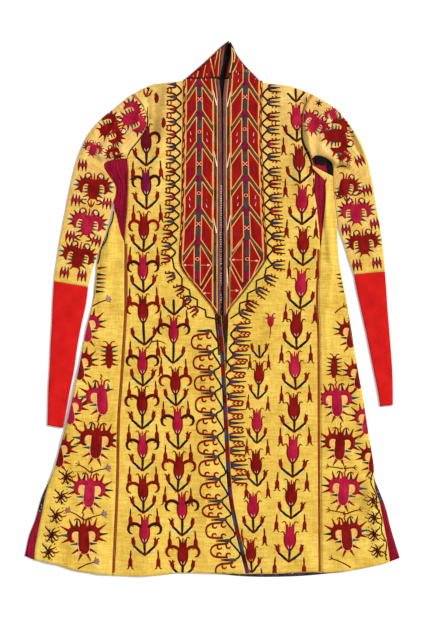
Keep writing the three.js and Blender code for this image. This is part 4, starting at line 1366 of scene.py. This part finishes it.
def twig(s, dx, dy, head):
    """A slanting stalk from a flower's tip, which ends in a round tuft or in a small fork."""
    s.stroke("rim", [(0, 0), (dx * 0.5, dy * 0.62), (dx, dy)], [3.6, 3.0, 2.4])
    reach = math.hypot(dx, dy)
    x, y = dx + 5 * dx / reach, dy + 5 * dy / reach
    if head == "tuft":
        tuft = [(x + 6.4 * math.cos(a), y + 6.4 * math.sin(a)) for a in np.linspace(0, 5.6, 9)]
        s.fill("dusk" if dy < 13 else "mauve", tuft, 0.6)
        for turn in (-0.9, -0.3, 0.3, 0.9):
            a = math.atan2(dy, dx) + turn
            s.stroke("rim", [(dx, dy), (dx + 12 * math.cos(a), dy + 12 * math.sin(a))], [2, 1.6], 0.8)
    else:
        for turn in (-0.7, 0.1, 0.8):
            a = math.atan2(dy, dx) + turn
            s.stroke("brown" if turn else "green",
                     [(dx, dy), (dx + 10 * math.cos(a), dy + 10 * math.sin(a))], [3, 1.6])


print("motifs are ready")

# %% [markdown]
# ## The breast panels
# Each panel has two columns of long leaves with a narrow band between them. The leaves slope down
# and away from the band. A dark stripe runs between two leaves, and each leaf has a light rim.

# %% Leaves and bands of a panel
REPEAT = 73.0
PANEL_END = 622
PANEL_WIDTH = 82.0
BAND_MIDDLE = 43
LEAF_DROP = 35.0
LIGHT_RIM = 2.5
LEAF_TOPS = {"left": [32, 105, 173, 244, 320, 396], "right": [36, 108, 175, 247, 320, 389]}
MARKS = {"left": [62, 133, 207, 280, 347, 417, 497], "right": [58, 128, 201, 280, 352, 426, 497]}
BAND_PARTS = [("slate", -27, -8), ("crimson", -8, 8), ("slate", 8, 27), ("rose", 27, 46)]
END_LEAVES = {
    "left": [[(-41.5, 467), (-69, 510), (-41.5, 558)], [(-27, 465), (-1, 510), (-27, 558)],
             [(0, 532), (-26, 575), (0, 611)]],
    "right": [[(69, 455), (40, 497), (69, 550)], [(85, 452), (109, 497), (85, 552)],
              [(40, 514), (67, 567), (40, 612)]],
}
ARROWS = {
    # tail across, tip across, down
    "left": [(-42, -66, 511), (-26, -5, 511), (-4, -22, 575)],
    "right": [(68, 44, 499), (86, 105, 501), (41, 60, 569)],
}


def panel_pattern(s, inner, outer, outward, full_until):
    """Fills one panel. `inner` is the braid side line, `outward` is -1 for the left panel."""
    part = "left" if outward < 0 else "right"

    def spot(off, down):
        at = np.minimum(down, full_until)
        scale = float(outward * (outer(at) - inner(at))) / PANEL_WIDTH
        return float(inner(down)) + outward * off * scale, down

    def shape(points):
        return [(x, -d) for x, d in (spot(off, down) for off, down in points)]

    s.at(0, 0)
    tops = LEAF_TOPS[part]
    for k, (top, after) in enumerate(zip(tops, tops[1:] + [tops[-1] + REPEAT])):
        side_length = after - top - 16
        for near, far in ((36.0, 12.5), (50.0, 73.5)):
            side = 1 if far > near else -1
            leaf = [(near, top), (near, top + side_length), (far, top + side_length + LEAF_DROP),
                    (far, top + LEAF_DROP)]
            s.fill("red", shape(leaf), grain=60 * side * outward, sharp=True)
            s.stroke("orange", shape(leaf), LIGHT_RIM, 0.7, closed=True, sharp=True)
            stripe = [(near, after - 8), (far, after - 8 + LEAF_DROP)]
            s.stroke("olive", shape(stripe), 3.4, sharp=True)
            middle = (near + far) / 2
            heart = top + (side_length + LEAF_DROP) / 2
            s.stroke("purple", shape([(middle - side * 2, heart - 17), (middle, heart),
                                      (middle + side * 2, heart + 17)]), [0.7, 3.6, 0.7], 0.65)
            if k % 2 == 0:
                for step in (-8, 8):
                    tick = [(middle + 2.5, heart + step - 4), (middle + 0.5, heart + step + 4)]
                    s.stroke("pale", shape(tick), [1.6, 2.8], 0.95)
        s.stroke("green", shape([(6.0, top + 20), (6.0, top + 44)]), 4.0)
        s.stroke("slate", shape([(6.0, top + 44), (6.0, top + 64)]), 4.0)
        if k % 2:
            s.stroke("pale", shape([(9.5, top + 8), (3, top + 42)]), [1.4, 3.6], 0.85)
        for start in (top, top + 36):
            s.stroke("crimson", shape([(81.5, start), (79.0, start + 16), (75.5, start + 34)]),
                     [1.4, 4.4, 1.4], 0.6)
            s.stroke("orange", shape([(76, start + 2), (80.5, start + 34)]), 2.0)
    for mark in MARKS[part]:
        for colour, start, stop in BAND_PARTS:
            s.stroke(colour, shape([(BAND_MIDDLE, mark + start), (BAND_MIDDLE, mark + stop)]),
                     11.5, sharp=True)
    for number, mark in enumerate(MARKS[part]):
        if number % 2:
            s.stroke("pale", shape([(38.5, mark - 4.5), (47.5, mark + 4.5)]), 2.0, 1.0)
            s.stroke("pale", shape([(47.5, mark - 4.5), (38.5, mark + 4.5)]), 2.0, 1.0)
        else:
            ring = [(BAND_MIDDLE + 3.6 * math.cos(a), mark + 3.6 * math.sin(a))
                    for a in np.linspace(0, 5.4, 7)]
            s.stroke("pale", shape(ring), 1.8, 1.0, closed=True)
    for colour, start, stop in (("slate", 466, 512), ("green", 512, 548), ("slate", 548, 596)):
        s.stroke(colour, shape([(6.0, start), (6.0, stop)]), 5.4)
    for leaf in END_LEAVES[part]:
        outline = [(x, -d) for x, d in leaf]
        s.fill("red", outline, sharp=True)
        s.stroke("orange", outline, LIGHT_RIM, 0.7, closed=True, sharp=True)
    for tail, tip, down in ARROWS[part]:
        s.stroke("orange", [(tail, -down), (tip, -down)], 2.2, 0.9)
        step = 6 if tip > tail else -6
        s.stroke("pale", [(tip - step, -down), (tip, -down)], [7.0, 1.0], 1.1, sharp=True)
    downs = np.arange(87.0, PANEL_END, 6.0)
    for off, wide in ((1.6, 2.4), (10.2, 1.8), (75.0, 1.8)):
        s.stroke("orange", shape([(off, d) for d in downs]), wide, 0.6)


def point_edge(s, rows, outer, outward, edge):
    """The slanting end of a panel: a dark edge, and a light line on each side of it."""
    dark = [(outer(d) - outward * 3.4, -d) for d in rows]
    light = [(outer(d) - outward * 7.0, -d) for d in rows]
    s.at(0, 0).stroke(edge, dark, 5.0, 0.6, sharp=True)
    s.stroke("orange", light, 2.6, 0.75, sharp=True)
    s.stroke("orange", [(outer(d) - outward * 0.6, -d) for d in rows], 1.6, sharp=True)


yoke_head = lambda across: shoulder_line(across) - 3.9
yoke_foot = level(YOKE_POINT - 1.0)

left_panel = Stitching()
panel_pattern(left_panel, braid_side_left, yoke_side_left, -1, 497.0)
point_edge(left_panel, np.linspace(503, PANEL_END, 14), yoke_side_left, -1, "rim")
left_panel.lay("yoke_left_stitches", ["yoke_left_cloth"], sides=(yoke_side_left, braid_side_left),
               ends=(yoke_head, yoke_foot))
right_panel = Stitching()
panel_pattern(right_panel, braid_side_right, yoke_side_right, 1, 495.0)
right_panel.stroke("pale", [(33, -516), (34.6, -540), (36.6, -562)], [1.6, 3.0, 1.4], 0.9)
point_edge(right_panel, np.linspace(500, PANEL_END, 14), yoke_side_right, 1, "olive")
right_panel.lay("yoke_right_stitches", ["yoke_right_cloth", "collar_right_cloth"],
                sides=(braid_side_right, yoke_side_right),
                ends=(lambda across: shoulder_line(across) - 16.0, yoke_foot))

# %% Stitches and painted glints along the opening
opening = Stitching()
downs = np.linspace(92, YOKE_POINT - 3, 80)
dark = [0.7 + 2.3 * float(smooth((d - 330) / 130)) for d in downs]
opening.stroke("black", [(float(opening_left(d)) - 0.4 * w, -d) for d, w in zip(downs, dark)], dark)
opening.stroke("black", [(float(opening_right(d)) + 0.3 * w, -d) for d, w in zip(downs, dark)], dark)
opening.stroke("taupe", [(float(opening_left(d)) - 3.0, -d) for d in downs[:34]], 3.0, 0.3)
opening.stroke("taupe", [(float(opening_left(d)) - 6.4, -d) for d in downs], 2.6, 0.4)
opening.stroke("taupe", [(float(opening_right(d)) + 4.6, -d) for d in downs], 2.6, 0.4)
# Short pale dashes along the lower opening are painted glints: highlights drawn as thread.
for down in np.arange(330, YOKE_POINT - 8, 5.5):
    opening.stroke("pale", [(21 - 1.5 * rng.random(), -down), (21 - 1.5 * rng.random(), -down - 3.2)],
                   1.2 + 0.8 * rng.random(), 0.7)
opening.lay("opening_glints_and_stitches", ["braid_left_cloth", "braid_right_cloth"])

# %% [markdown]
# ## The collar
# The collar is a strip of the same work. It is folded along its top, so its leaves meet the peak
# at a slant, and a braid closes its inner edge.

# %% Collar stitches
COLLAR_LEFT = [
    ("red", 15.0, [(-6, 50), (-12, 66), (-14, 84)]), ("red", 13.0, [(3, 36), (7, 56), (9, 82)]),
    ("red", 12.0, [(-38, 70), (-48, 84)]), ("crimson", 9.0, [(-24, 60), (-27, 84)]),
    ("orange", 2.6, [(12.7, 22.8), (10.9, 31.5), (7.4, 49.0), (5.1, 63.0)]),
    ("orange", 2.6, [(-4.8, 39.1), (-1.9, 53.6), (5.1, 82.7)]),
    ("orange", 2.4, [(-14.7, 54.8), (-17.6, 67.6), (-20.5, 83.3)]),
    ("orange", 2.4, [(-31.5, 68.8), (-35.0, 82.1)]),
    ("orange", 2.0, [(19.1, 16.4), (16.2, 42.0), (12.7, 81.6)]), ("green", 5.0, [(3, 43), (5.0, 60.0)]),
    ("straw", 3.0, [(7, 44), (5.5, 60)]), ("pale", 2.2, [(-12, 74), (-12, 79)]),
    ("pale", 2.2, [(-44, 78), (-43, 82)]),
    ("taupe", 5.6, [(28.5, 12), (25.0, 18), (21.4, 51.3), (19.1, 84)]),
    ("black", 3.4, [(-36, 84.6), (-12.3, 84.6), (19.1, 84.6)]),
    ("rim", 2.6, [(34, 4), (13, 22), (-2, 36), (-28, 60), (-52, 80)]),
    ("black", 9.0, [(37, 1), (35.4, 9), (31.5, 19)]), ("black", 4.0, [(33, 16), (29, 30), (26, 46)]),
]
COLLAR_RIGHT = [
    ("red", 16.0, [(55, 40), (62, 56), (56, 74), (52, 85)]), ("red", 9.0, [(88, 82), (98, 86)]),
    ("slate", 9.0, [(76.6, 66), (76.4, 86)]), ("purple", 9.0, [(76, 74), (76, 80)]),
    ("taupe", 4.0, [(41.2, 10), (42.9, 31.5), (42.3, 49.0), (38.8, 67.6), (34.2, 85)]),
    ("straw", 2.0, [(43.4, 15.3), (45.4, 31.5), (44.8, 49.0), (41, 67.6), (37, 85)]),
    ("orange", 2.6, [(45.8, 17.6), (50.5, 26.9), (51.1, 39.7), (49.3, 49.0)]),
    ("orange", 2.6, [(59.8, 40.9), (55.7, 54.8), (49.3, 67.6), (44.9, 74.6), (44.7, 86)]),
    ("orange", 2.6, [(67.9, 52.5), (70.2, 65.3), (69.7, 79.2), (66, 86)]),
    ("orange", 2.6, [(83.0, 67.6), (86.5, 79.2), (89, 86)]), ("green", 6.0, [(48, 51), (46, 67)]),
    ("pale", 3.0, [(54.5, 67.6), (55.4, 74.6)]), ("pale", 2.6, [(52.8, 80), (52.4, 86)]),
    ("pale", 1.8, [(73, 66), (80, 71)]), ("pale", 1.8, [(80, 66), (73, 71)]),
    ("rim", 2.6, [(44, 6), (59, 36), (82, 64), (104, 84)]), ("black", 5.0, [(41, 2), (43, 14)]),
]


def collar_stitches(name, rows, on, sides, foot):
    s = Stitching()
    for thread, wide, path in rows:
        s.stroke(thread, [(x, -d) for x, d in path], wide, 0.5 if wide > 6 else 0.7)
    s.lay(name, [on], sides=sides, ends=(level(0.0), lambda a: shoulder_line(a) - foot))


collar_stitches("collar_left_stitches", COLLAR_LEFT, "collar_left_cloth",
                (collar_outer_left, collar_inner_left), 2.5)
collar_stitches("collar_right_stitches", COLLAR_RIGHT, "collar_right_cloth",
                (collar_inner_right, collar_outer_right), 14.0)

# %% [markdown]
# ## Flowers of the fronts
# Tulips climb in columns beside the combs, in crimson and magenta by turns. Handwork is never
# quite the same twice, so each flower leans and differs in size a little.

# %% Places of the tulips
TULIPS = {
    "left outer": [
        (-151, 223, "w"), (-151, 321, "p"), (-156, 422, "c"), (-158, 515, "m"), (-158, 610, "c"),
        (-159, 730, "m"), (-160, 821, "d"), (-159, 921, "m"), (-158, 1019, "c"), (-154, 1113, "m")],
    "left inner": [
        (-88, 658, "m"), (-84, 775, "c"), (-79, 866, "m"), (-76, 969, "c"), (-69, 1060, "m"),
        (-67, 1165, "c")],
    "right outer": [
        (192, 173, "m"), (198, 267, "c"), (205, 360, "m"), (207, 455, "c"), (203, 552, "m"),
        (192, 645, "c"), (188, 739, "m"), (186, 834, "c"), (184, 930, "m"), (180, 1031, "c"),
        (177, 1129, "m")],
    "right inner": [
        (107, 757, "c", 0.82), (102, 866, "m", 0.86), (100, 960, "c", 0.9), (93, 1058, "m", 0.96),
        (88, 1162, "c", 0.84)],
}


def small_flower(s):
    """The little flower at the head of the inner column, on a thin stalk."""
    body = mirrored([(0, 12), (2, 7), (4, 15), (6, 12), (7.4, 4), (7, -6), (4, -13), (0, -16)])
    s.fill("magenta", body, 0.6)
    pair(s, "rim", [(5, 12), (8, 16), (12, 15)], [2.6, 2.2, 1.4])
    pair(s, "rim", [(6.6, 3), (9.6, 6), (13, 5)], [2.6, 2.2, 1.4])
    s.stroke("crimson", [(0, -14), (-0.6, -28), (-2, -40)], [2.6, 2.2, 1.8])


def column(s, rows, horns, reach):
    after = [row[1] for row in rows[1:]] + [rows[-1][1]]
    for (across, down, shade, *drawn), following in zip(rows, after):
        size = (drawn[0] if drawn else 1.0) + rng.uniform(-0.03, 0.03)
        s.at(across, down, turn=rng.uniform(-2.5, 2.5), size=size, mirror=rng.choice((1, -1)))
        tulip(s, shade, horns=horns, reach=reach, spread=0.95 + 0.2 * float(smooth((down - 250) / 400)),
              longer=min(max(following - down - 96, 0), 24))


COMB_ROWS_LEFT = [100 + 28.3 * i for i in range(16)]
COMB_ROWS_RIGHT = [107, 139, 173, 202, 235, 264, 299, 326, 358, 388, 415, 445, 475, 511]
LOW_ROWS_LEFT = [661, 709, 755, 803, 853, 903, 948, 999, 1049, 1091, 1139, 1183]
LOW_ROWS_RIGHT = [654, 684, 716, 746, 777, 811, 841, 871, 903, 934, 967, 999]
foot_left = lambda d: yoke_side_left(min(d, 500)) - 16 - 4 * smooth((d - 380) / 100)
foot_right = lambda d: yoke_side_right(min(d, 490)) + 13
low_foot_left = lambda d: opening_left(d) - 27
low_foot_right = line(
    (654, 54), (685, 51), (711, 48), (746, 43), (776, 40), (811, 38), (845, 37), (903, 38), (944, 42),
    (999, 47))
SLANT_LEFT = [(-85, 534, 195), (-66, 563, 203), (-50, 586, 208), (-34, 609, 212)]
SLANT_RIGHT = [(121, 539, -24), (102, 566, -32), (78, 596, -32), (64, 618, -20)]

# %% Left front
left_front = Stitching()
column(left_front, TULIPS["left outer"], True, 26)
column(left_front, TULIPS["left inner"], True, 24)
stalk(left_front.at(-88, 567))
fork(left_front.at(-148, 117, turn=-14, size=1.3))
bud(left_front.at(-127, 138, turn=4, size=1.15), 0, 0, 0.2)
bud(left_front.at(-111, 196, size=1.15), 0, 0, 0.3)
left_front.at(0, 0).stroke("black", [(-147, -150), (-149, -170), (-150, -190)], [2, 3.4, 4])
for path in ([(-136, -676), (-141, -690), (-150, -702)], [(-138, -686), (-122, -684), (-106, -690)]):
    left_front.at(0, 0).stroke("brown", path, [4, 3, 1.6])
vine(left_front, foot_left, lambda d: foot_left(d) + 12, COMB_ROWS_LEFT[:15])
for i, row in enumerate(COMB_ROWS_LEFT[:15]):
    comb(left_front.at(foot_left(row), row, mirror=-1), i)
for i, (across, row, turn) in enumerate(SLANT_LEFT):
    comb(left_front.at(across, row, turn=turn), i + 1, 20)
left_front.at(0, 0).stroke("black", [(-91, -495), (-87, -517), (-69, -540), (-69, -558), (-52, -568),
                                     (-50, -582), (-34, -590), (-34, -605), (-16, -613), (-14, -629),
                                     (6, -633)], 3.8, sharp=True)
vine(left_front, low_foot_left, lambda d: low_foot_left(d) + 15, LOW_ROWS_LEFT, share=0.68)
for i, (row, after) in enumerate(zip(LOW_ROWS_LEFT, LOW_ROWS_LEFT[1:] + [1229])):
    bracket(left_front.at(low_foot_left(row), row), after - row)

# %% [markdown]
# The edges are bound with narrow bands: dark red and navy along the opening, brick red along
# the seams. On each front they are stitched after the flowers, vines and combs.

# %% Edge bands
def along(seam, rows, offset=0.0):
    return [(float(seam(d)) + offset, -d) for d in rows]


def banded_edge(s, seam, start, end, offset, width, colours, lengths):
    colours, down, i = colours.split(), start, 0
    while down < end:
        stop = min(down + lengths[i % len(lengths)], end)
        s.at(0, 0).stroke(colours[i % len(colours)], along(seam, np.linspace(down, stop, 5), offset),
                          width, 0.6)
        down, i = stop, i + 1


banded_edge(left_front, opening_left, 612, 716, -13.0, 4.4, "black rim green", [46, 30, 30])
banded_edge(left_front, opening_left, 612, 1214, -0.8, 2.6, "rim black", [60, 40])
banded_edge(left_front, opening_left, 612, 1214, -3.4, 5.4,
            "rim purple crimson navy crimson slate", [40, 22, 34, 28, 30])
banded_edge(left_front, opening_left, 612, 1214, -8.2, 4.6,
            "black navy rim slate crimson navy", [34, 26, 40, 22, 30])
left_front.at(0, 0).stroke("straw", along(opening_left, np.linspace(716, 1213, 56), -11.6), 1.4, 0.4)
for offset, thread, wide in ((4.0, "rust", 3.8), (2.0, "brown", 1.9), (6.0, "brown", 1.9)):
    left_front.stroke(thread, along(seam_left, np.linspace(462, 1212, 70), offset), wide)
left_front.stroke("mauve", [(-184, -120), (-170, -137), (-158, -154)], 11.0)
left_front.stroke("black", along(seam_left, np.linspace(170, 262, 8), 2.0), 2.6)
left_front.lay("left_front_stitches", ["front_left_cloth"], sides=(seam_left, opening_left),
               ends=(shoulder_line, front_hem))

# %% Right front
right_front = Stitching()
column(right_front, TULIPS["right outer"], False, 28)
column(right_front, TULIPS["right inner"], False, 22)
stalk(right_front.at(190, 84, size=0.95), 22, full=False)
small_flower(right_front.at(133, 637))
stalk(right_front.at(107, 674, size=0.85), 20)
vine(right_front, foot_right, lambda d: foot_right(d) - 12, COMB_ROWS_RIGHT)
for i, row in enumerate(COMB_ROWS_RIGHT):
    comb(right_front.at(foot_right(row), row), i, 27)
for i, (across, row, turn) in enumerate(SLANT_RIGHT):
    comb(right_front.at(across, row, turn=turn), i, 27)
right_front.at(0, 0).stroke("black", [(139, -509), (123, -519), (119, -539), (101, -546), (100, -566),
                                      (81, -575), (79, -593), (63, -598), (61, -620), (41, -633)],
                            3.8, sharp=True)
vine(right_front, low_foot_right, lambda d: low_foot_right(d) - 10, LOW_ROWS_RIGHT)
for i, row in enumerate(LOW_ROWS_RIGHT):
    long_comb(right_front.at(low_foot_right(row), row), i)
banded_edge(right_front, opening_right, 612, 720, 1.0, 3.0, "black rim", [60, 60])
banded_edge(right_front, opening_right, 612, 1214, 5.0, 6.0,
            "rim green crimson navy crimson", [54, 24, 38, 30])
banded_edge(right_front, opening_right, 612, 752, 10.2, 4.8, "black green slate", [40, 34, 36])
for offset, thread, wide in ((-4.0, "rust", 3.0), (-2.2, "crimson", 1.9), (-5.6, "crimson", 1.9)):
    right_front.stroke(thread, along(seam_right, np.linspace(475, 1210, 70), offset), wide)
right_front.stroke("mauve", [(230, -118), (217, -140), (207, -162)], 7.0)
# A dark seam line at the armhole; its wide lower part is painted shade of the deep crease there.
right_front.stroke("black", along(seam_right, np.linspace(165, 306, 12), -2.4),
                   [2.4, 2.6, 3, 3.4, 4.4, 6, 7.4, 8, 7.4, 6, 4, 2.4], 0.4)
right_front.lay("right_front_stitches", ["front_right_cloth"], sides=(opening_right, seam_right),
                ends=(shoulder_line, front_hem))

# %% [markdown]
# ## Gores and sleeves
# The flowers here are the thorny ones. On the sleeves they follow the tube round its bend, so
# each of them is turned with it.

# %% Gore motifs
GORE_LEFT = [
    ("thorny", -251, 815, "magenta", 1, 0), ("thorny", -264, 914, "crimson"),
    ("thorny", -280, 1027, "magenta"), ("thorny", -293, 1132, "crimson"), ("half", 652, "magenta"),
    ("half", 739, "crimson"), ("half", 840, "magenta"), ("half", 937, "crimson"), ("insect", -235, 718),
    ("spider", -333, 996), ("spider", -345, 1041), ("spider", -356, 1084), ("spider", -366, 1128),
    ("spider", -373, 1166), ("twig", -276, 606, 36, 12, "tuft"), ("twig", -278, 984, -26, 16, "fork"),
    ("twig", -276, 984, 33, 9, "tuft"), ("twig", -293, 1092, -33, 20, "tuft"),
    ("twig", -290, 1092, 38, 12, "tuft"), ("twig", -306, 1203, 38, 12, "tuft"),
]
GORE_RIGHT = [
    ("thorny", 284, 821, "magenta"), ("thorny", 291, 921, "crimson"), ("thorny", 300, 1023, "magenta"),
    ("thorny", 306, 1126, "crimson"), ("half", 668, "crimson"), ("half", 762, "crimson"),
    ("half", 865, "magenta"), ("half", 953, "crimson"), ("insect", 278, 743), ("spider", 367, 1050),
    ("spider", 369, 1088), ("spider", 369, 1126), ("spider", 377, 1164),
    ("twig", 280, 620, -20, 14, "fork"), ("twig", 300, 975, -24, 3, "fork"),
    ("twig", 298, 975, 36, 4, "fork"), ("twig", 307, 1078, -30, 11, "fork"),
    ("twig", 306, 1078, 40, 8, "fork"), ("twig", 316, 1200, 46, 20, "fork"),
]


def gore_motifs(s, rows, edge, mirror):
    full = 0.99 if mirror > 0 else 0.92
    for kind, *rest in rows:
        if kind == "half":
            down, main = rest
            s.at(edge(down) - mirror * 3, down, turn=10 * mirror, size=full - 0.1, mirror=mirror)
            thorny(s, main, left=False)
            continue
        across, down, *rest = rest
        s.at(across, down, turn=rng.uniform(-6, 6), size=full + rng.uniform(-0.04, 0.04), mirror=mirror)
        {"thorny": thorny, "insect": insect, "spider": spider, "twig": twig}[kind](s, *rest)


left_gore = Stitching()
gore_motifs(left_gore, GORE_LEFT, side_left, 1)
SPIKE_THREADS = ["brown", "green", "crimson", "teal", "crimson", "black"]
for row, thread in zip((518, 532, 542, 551, 561, 571), SPIKE_THREADS):
    thorn(left_gore.at(side_left(row) + 3, row), 0, 0, 21, rng.uniform(-3, 3), thread, 7.0)
# A dark wavy line along the gore's edge below the sleeve: black edging that also serves as painted shade in
# the gap beside the sleeve.
edging_and_shade_line = [(side_left(d) + 2.4 + 1.2 * math.sin(d / 7), -d) for d in np.linspace(388, 508, 14)]
left_gore.at(0, 0).stroke("black", edging_and_shade_line, 3.2)
left_gore.lay("left_gore_stitches", ["front_gore_left_cloth"], sides=(side_left, gore_seam_left),
              ends=(level(378.0), front_hem))
right_gore = Stitching()
gore_motifs(right_gore, GORE_RIGHT, side_right, -1)
for row, thread in zip((532, 542, 552, 561, 571), SPIKE_THREADS):
    thorn(right_gore.at(side_right(row) - 2, row), 0, 0, -11, rng.uniform(-2, 2), thread, 6.0)
edge_vine = [(side_right(d) - 5 + 3 * math.sin(d / 9), -d) for d in np.linspace(962, 1184, 26)]
right_gore.at(0, 0).stroke("black", edge_vine, 2.8)
for down in (1000, 1036, 1070, 1104, 1140, 1172):
    thorn(right_gore.at(side_right(down) - 5, down), 0, 0, -11, 9, "black", 4.0)
right_gore.lay("right_gore_stitches", ["front_gore_right_cloth"], sides=(gore_seam_right, side_right),
               ends=(level(308.0), front_hem))

# %% Sleeve motifs
SLEEVE_LEFT = [
    # across, down, colour, size, turn; then whether each arm is drawn, where one is hidden
    (-178, 174, "magenta", 1.0, -68), (-230, 200, "crimson", 0.95, -72), (-271, 246, "magenta", 0.55, -18),
    (-219, 254, "crimson", 0.62, 20, 1, 0), (-270, 333, "crimson", 0.98, -4),
    (-284, 415, "magenta", 1.0, -9), (-305, 490, "crimson", 0.98, -13),
]
SLEEVE_RIGHT = [
    (234, 188, "magenta", 0.82, -34), (275, 166, "magenta", 0.5, 20), (287, 216, "crimson", 1.1, -92),
    (299, 262, "crimson", 0.5, -50, 0, 1), (302, 329, "crimson", 0.84, -10, 0, 1),
    (328, 389, "magenta", 0.94, 3), (345, 460, "crimson", 0.92, 6),
]
BONES_LEFT = [(-296, 283, 0, 4), (-311, 363, 1, 6), (-240, 370, -1, 6), (-324, 445, 1, 8),
              (-264, 456, -1, 14), (-337, 528, 0, 8), (-297, 535, 0, 8)]
BONES_RIGHT = [(336, 273, 0, -24), (353, 340, -1, -12), (370, 417, 0, -10), (305, 430, 0, -6),
               (330, 511, 0, -6), (375, 506, 0, -6)]


def sleeve_motifs(name, on, flowers, bones, forks, stars=()):
    s = Stitching()
    for across, down, main, size, turn, *arms in flowers:
        sleeve_flower(s.at(across, down, turn=turn, size=size), main, *arms)
    for across, down, beak, turn in bones:
        fishbone(s.at(across, down, turn=-turn, size=0.95), beak)
    for across, down in forks:
        fork(s.at(across, down))
    for across, down in stars:
        star(s.at(across, down))
    if stars:
        for across, down, turn, size in ((292, 353, 200, 1.0), (328, 346, 10, 1.0), (286, 350, 120, 0.8)):
            open_leaf(s.at(across, down, turn=turn, size=size))
        # The black line below is painted shadow of a crease in the sleeve, drawn as thread.
        painted_crease_shadow = [(283, -289), (290, -286), (299, -285), (307, -287)]
        s.at(0, 0).stroke("black", painted_crease_shadow, [1.2, 3.4, 3.8, 1.2], 0.2)
    s.lay(name, on)


sleeve_motifs("left_sleeve_stitches", ["sleeve_left_cloth"], SLEEVE_LEFT, BONES_LEFT, [(-276, 371)])
sleeve_motifs("right_sleeve_stitches", ["sleeve_right_cloth"], SLEEVE_RIGHT, BONES_RIGHT,
              [(307, 358)], [(243, 142)])

# %% [markdown]
# ## What each piece stands for
# Each cloth takes the place of its plain solid and rides on the one body. It also says how wide
# and long it lies, and how much cloth is in it. The stitches ride with it.

WEAR = [
    # node, slot, what it lies on
    ("back_body", "yellow_silk", "floor"), ("back_gore_left", "yellow_silk", "floor"),
    ("back_gore_right", "yellow_silk", "floor"), ("gusset_back_left", "magenta_silk", "floor"),
    ("gusset_back_right", "magenta_silk", "floor"), ("collar_back", "crimson_embroidery", "floor"),
    ("lining_neck", "dark_lining", "back_body_cloth"),
    ("lining_underarm_right", "dark_lining", "back_body_cloth"),
    ("lining_hem", "dark_lining", "back_body_cloth"),
    ("facing_slit_left", "magenta_silk", "back_gore_left_cloth"),
    ("facing_slit_right", "magenta_silk", "back_gore_right_cloth"),
    ("front_left", "yellow_silk", "back_body_cloth"), ("front_right", "yellow_silk", "back_body_cloth"),
    ("front_gore_left", "yellow_silk", "back_gore_left_cloth"),
    ("front_gore_right", "yellow_silk", "back_gore_right_cloth"),
    ("gusset_left", "magenta_silk", "gusset_back_left_cloth"),
    ("gusset_right", "magenta_silk", "gusset_back_right_cloth"), ("sleeve_left", "yellow_silk", "floor"),
    ("sleeve_right", "yellow_silk", "floor"), ("cuff_left", "scarlet_wool", "floor"),
    ("cuff_right", "scarlet_wool", "floor"), ("yoke_left", "crimson_embroidery", "front_left_cloth"),
    ("yoke_right", "crimson_embroidery", "front_right_cloth"),
    ("collar_left", "crimson_embroidery", "collar_back_cloth"),
    ("collar_right", "crimson_embroidery", "collar_back_cloth"),
    ("braid_left", "brown_braid", "front_left_cloth"), ("braid_right", "brown_braid", "front_right_cloth"),
]


def flat_cut(piece):
    """Extents of a sheet as it lies, and half the area of its faces, where folds count in.
    A tube has its longer extent as length, and the width that its area then needs."""
    area = sum(face.area for face in piece.data.polygons) / 2
    spots = np.array([v.co for v in piece.data.vertices])
    width, length = (spots.max(axis=0) - spots.min(axis=0))[:2]
    if piece.name.startswith(("sleeve", "cuff")):
        width, length = area / max(width, length), max(width, length)
    return float(width), float(length), float(min(area, width * length))


FLOOR_REACH = 4
FLOOR_DROP = 0.0004
floor_mesh = bpy.data.meshes.new("floor")
corners = [(x * FLOOR_REACH, y * FLOOR_REACH, 0) for x, y in ((-1, -1), (1, -1), (1, 1), (-1, 1))]
floor_mesh.from_pydata(corners, [], [(0, 1, 2, 3)])
floor = bpy.data.objects.new("floor", floor_mesh)
floor.location.z = -FLOOR_DROP
bpy.context.scene.collection.objects.link(floor)

for node, slot, under in WEAR:
    name = node.replace("underarm_right", "underarm") + "_cloth"
    piece = pieces[name]
    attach(piece, "root")
    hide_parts(node)
    width, length, area = flat_cut(piece)
    print(f"{name}: {width:.3f} x {length:.3f} m, {area:.4f} m2")
for name, piece in pieces.items():
    if name.endswith("_stitches"):
        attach(piece, "root")

# %% [markdown]
# ## Floor, light and camera
# The cloak lies on a white table. A broad light stands to its upper right, so the soft shadows
# fall to the left, and the sky fills the rest. The camera looks straight down.

# %% Floor, light and camera
paper = bpy.data.materials.new("white_table")
paper.use_nodes = True
paper_shader = paper.node_tree.nodes["Principled BSDF"]
paper_shader.inputs["Base Color"].default_value = (0.93, 0.93, 0.94, 1)
paper_shader.inputs["Roughness"].default_value = 1.0
paper_shader.inputs["Specular IOR Level"].default_value = 0.0
floor_mesh.materials.append(paper)

SKY = 0.68
SUN = 3.2
SUN_FROM = (0.72, 0.33, 0.58)
world = bpy.data.worlds.new("studio")
bpy.context.scene.world = world
world.use_nodes = True
world.node_tree.nodes["Background"].inputs["Color"].default_value = (0.96, 0.98, 1.0, 1)
world.node_tree.nodes["Background"].inputs["Strength"].default_value = SKY
key = bpy.data.lights.new("key", "SUN")
key.energy = SUN
key.angle = math.radians(14)
key.color = (1.0, 0.985, 0.96)
key_object = bpy.data.objects.new("key", key)
key_object.rotation_euler = Vector(SUN_FROM).to_track_quat("Z", "Y").to_euler()
bpy.context.scene.collection.objects.link(key_object)

VIEW_HEIGHT = 1.4478
VIEW_CENTRE = (0.00855, -0.01938, 0.004)
camera = bpy.data.cameras.new("camera")
camera.lens = 100
camera.sensor_width = 36
camera.clip_end = 30
camera_object = bpy.data.objects.new("camera", camera)
distance = VIEW_HEIGHT / 2 * camera.lens / (camera.sensor_width / 2)
camera_object.location = (*VIEW_CENTRE[:2], distance + VIEW_CENTRE[2])
bpy.context.scene.collection.objects.link(camera_object)
bpy.context.scene.camera = camera_object
bpy.context.scene.view_settings.view_transform = "Standard"
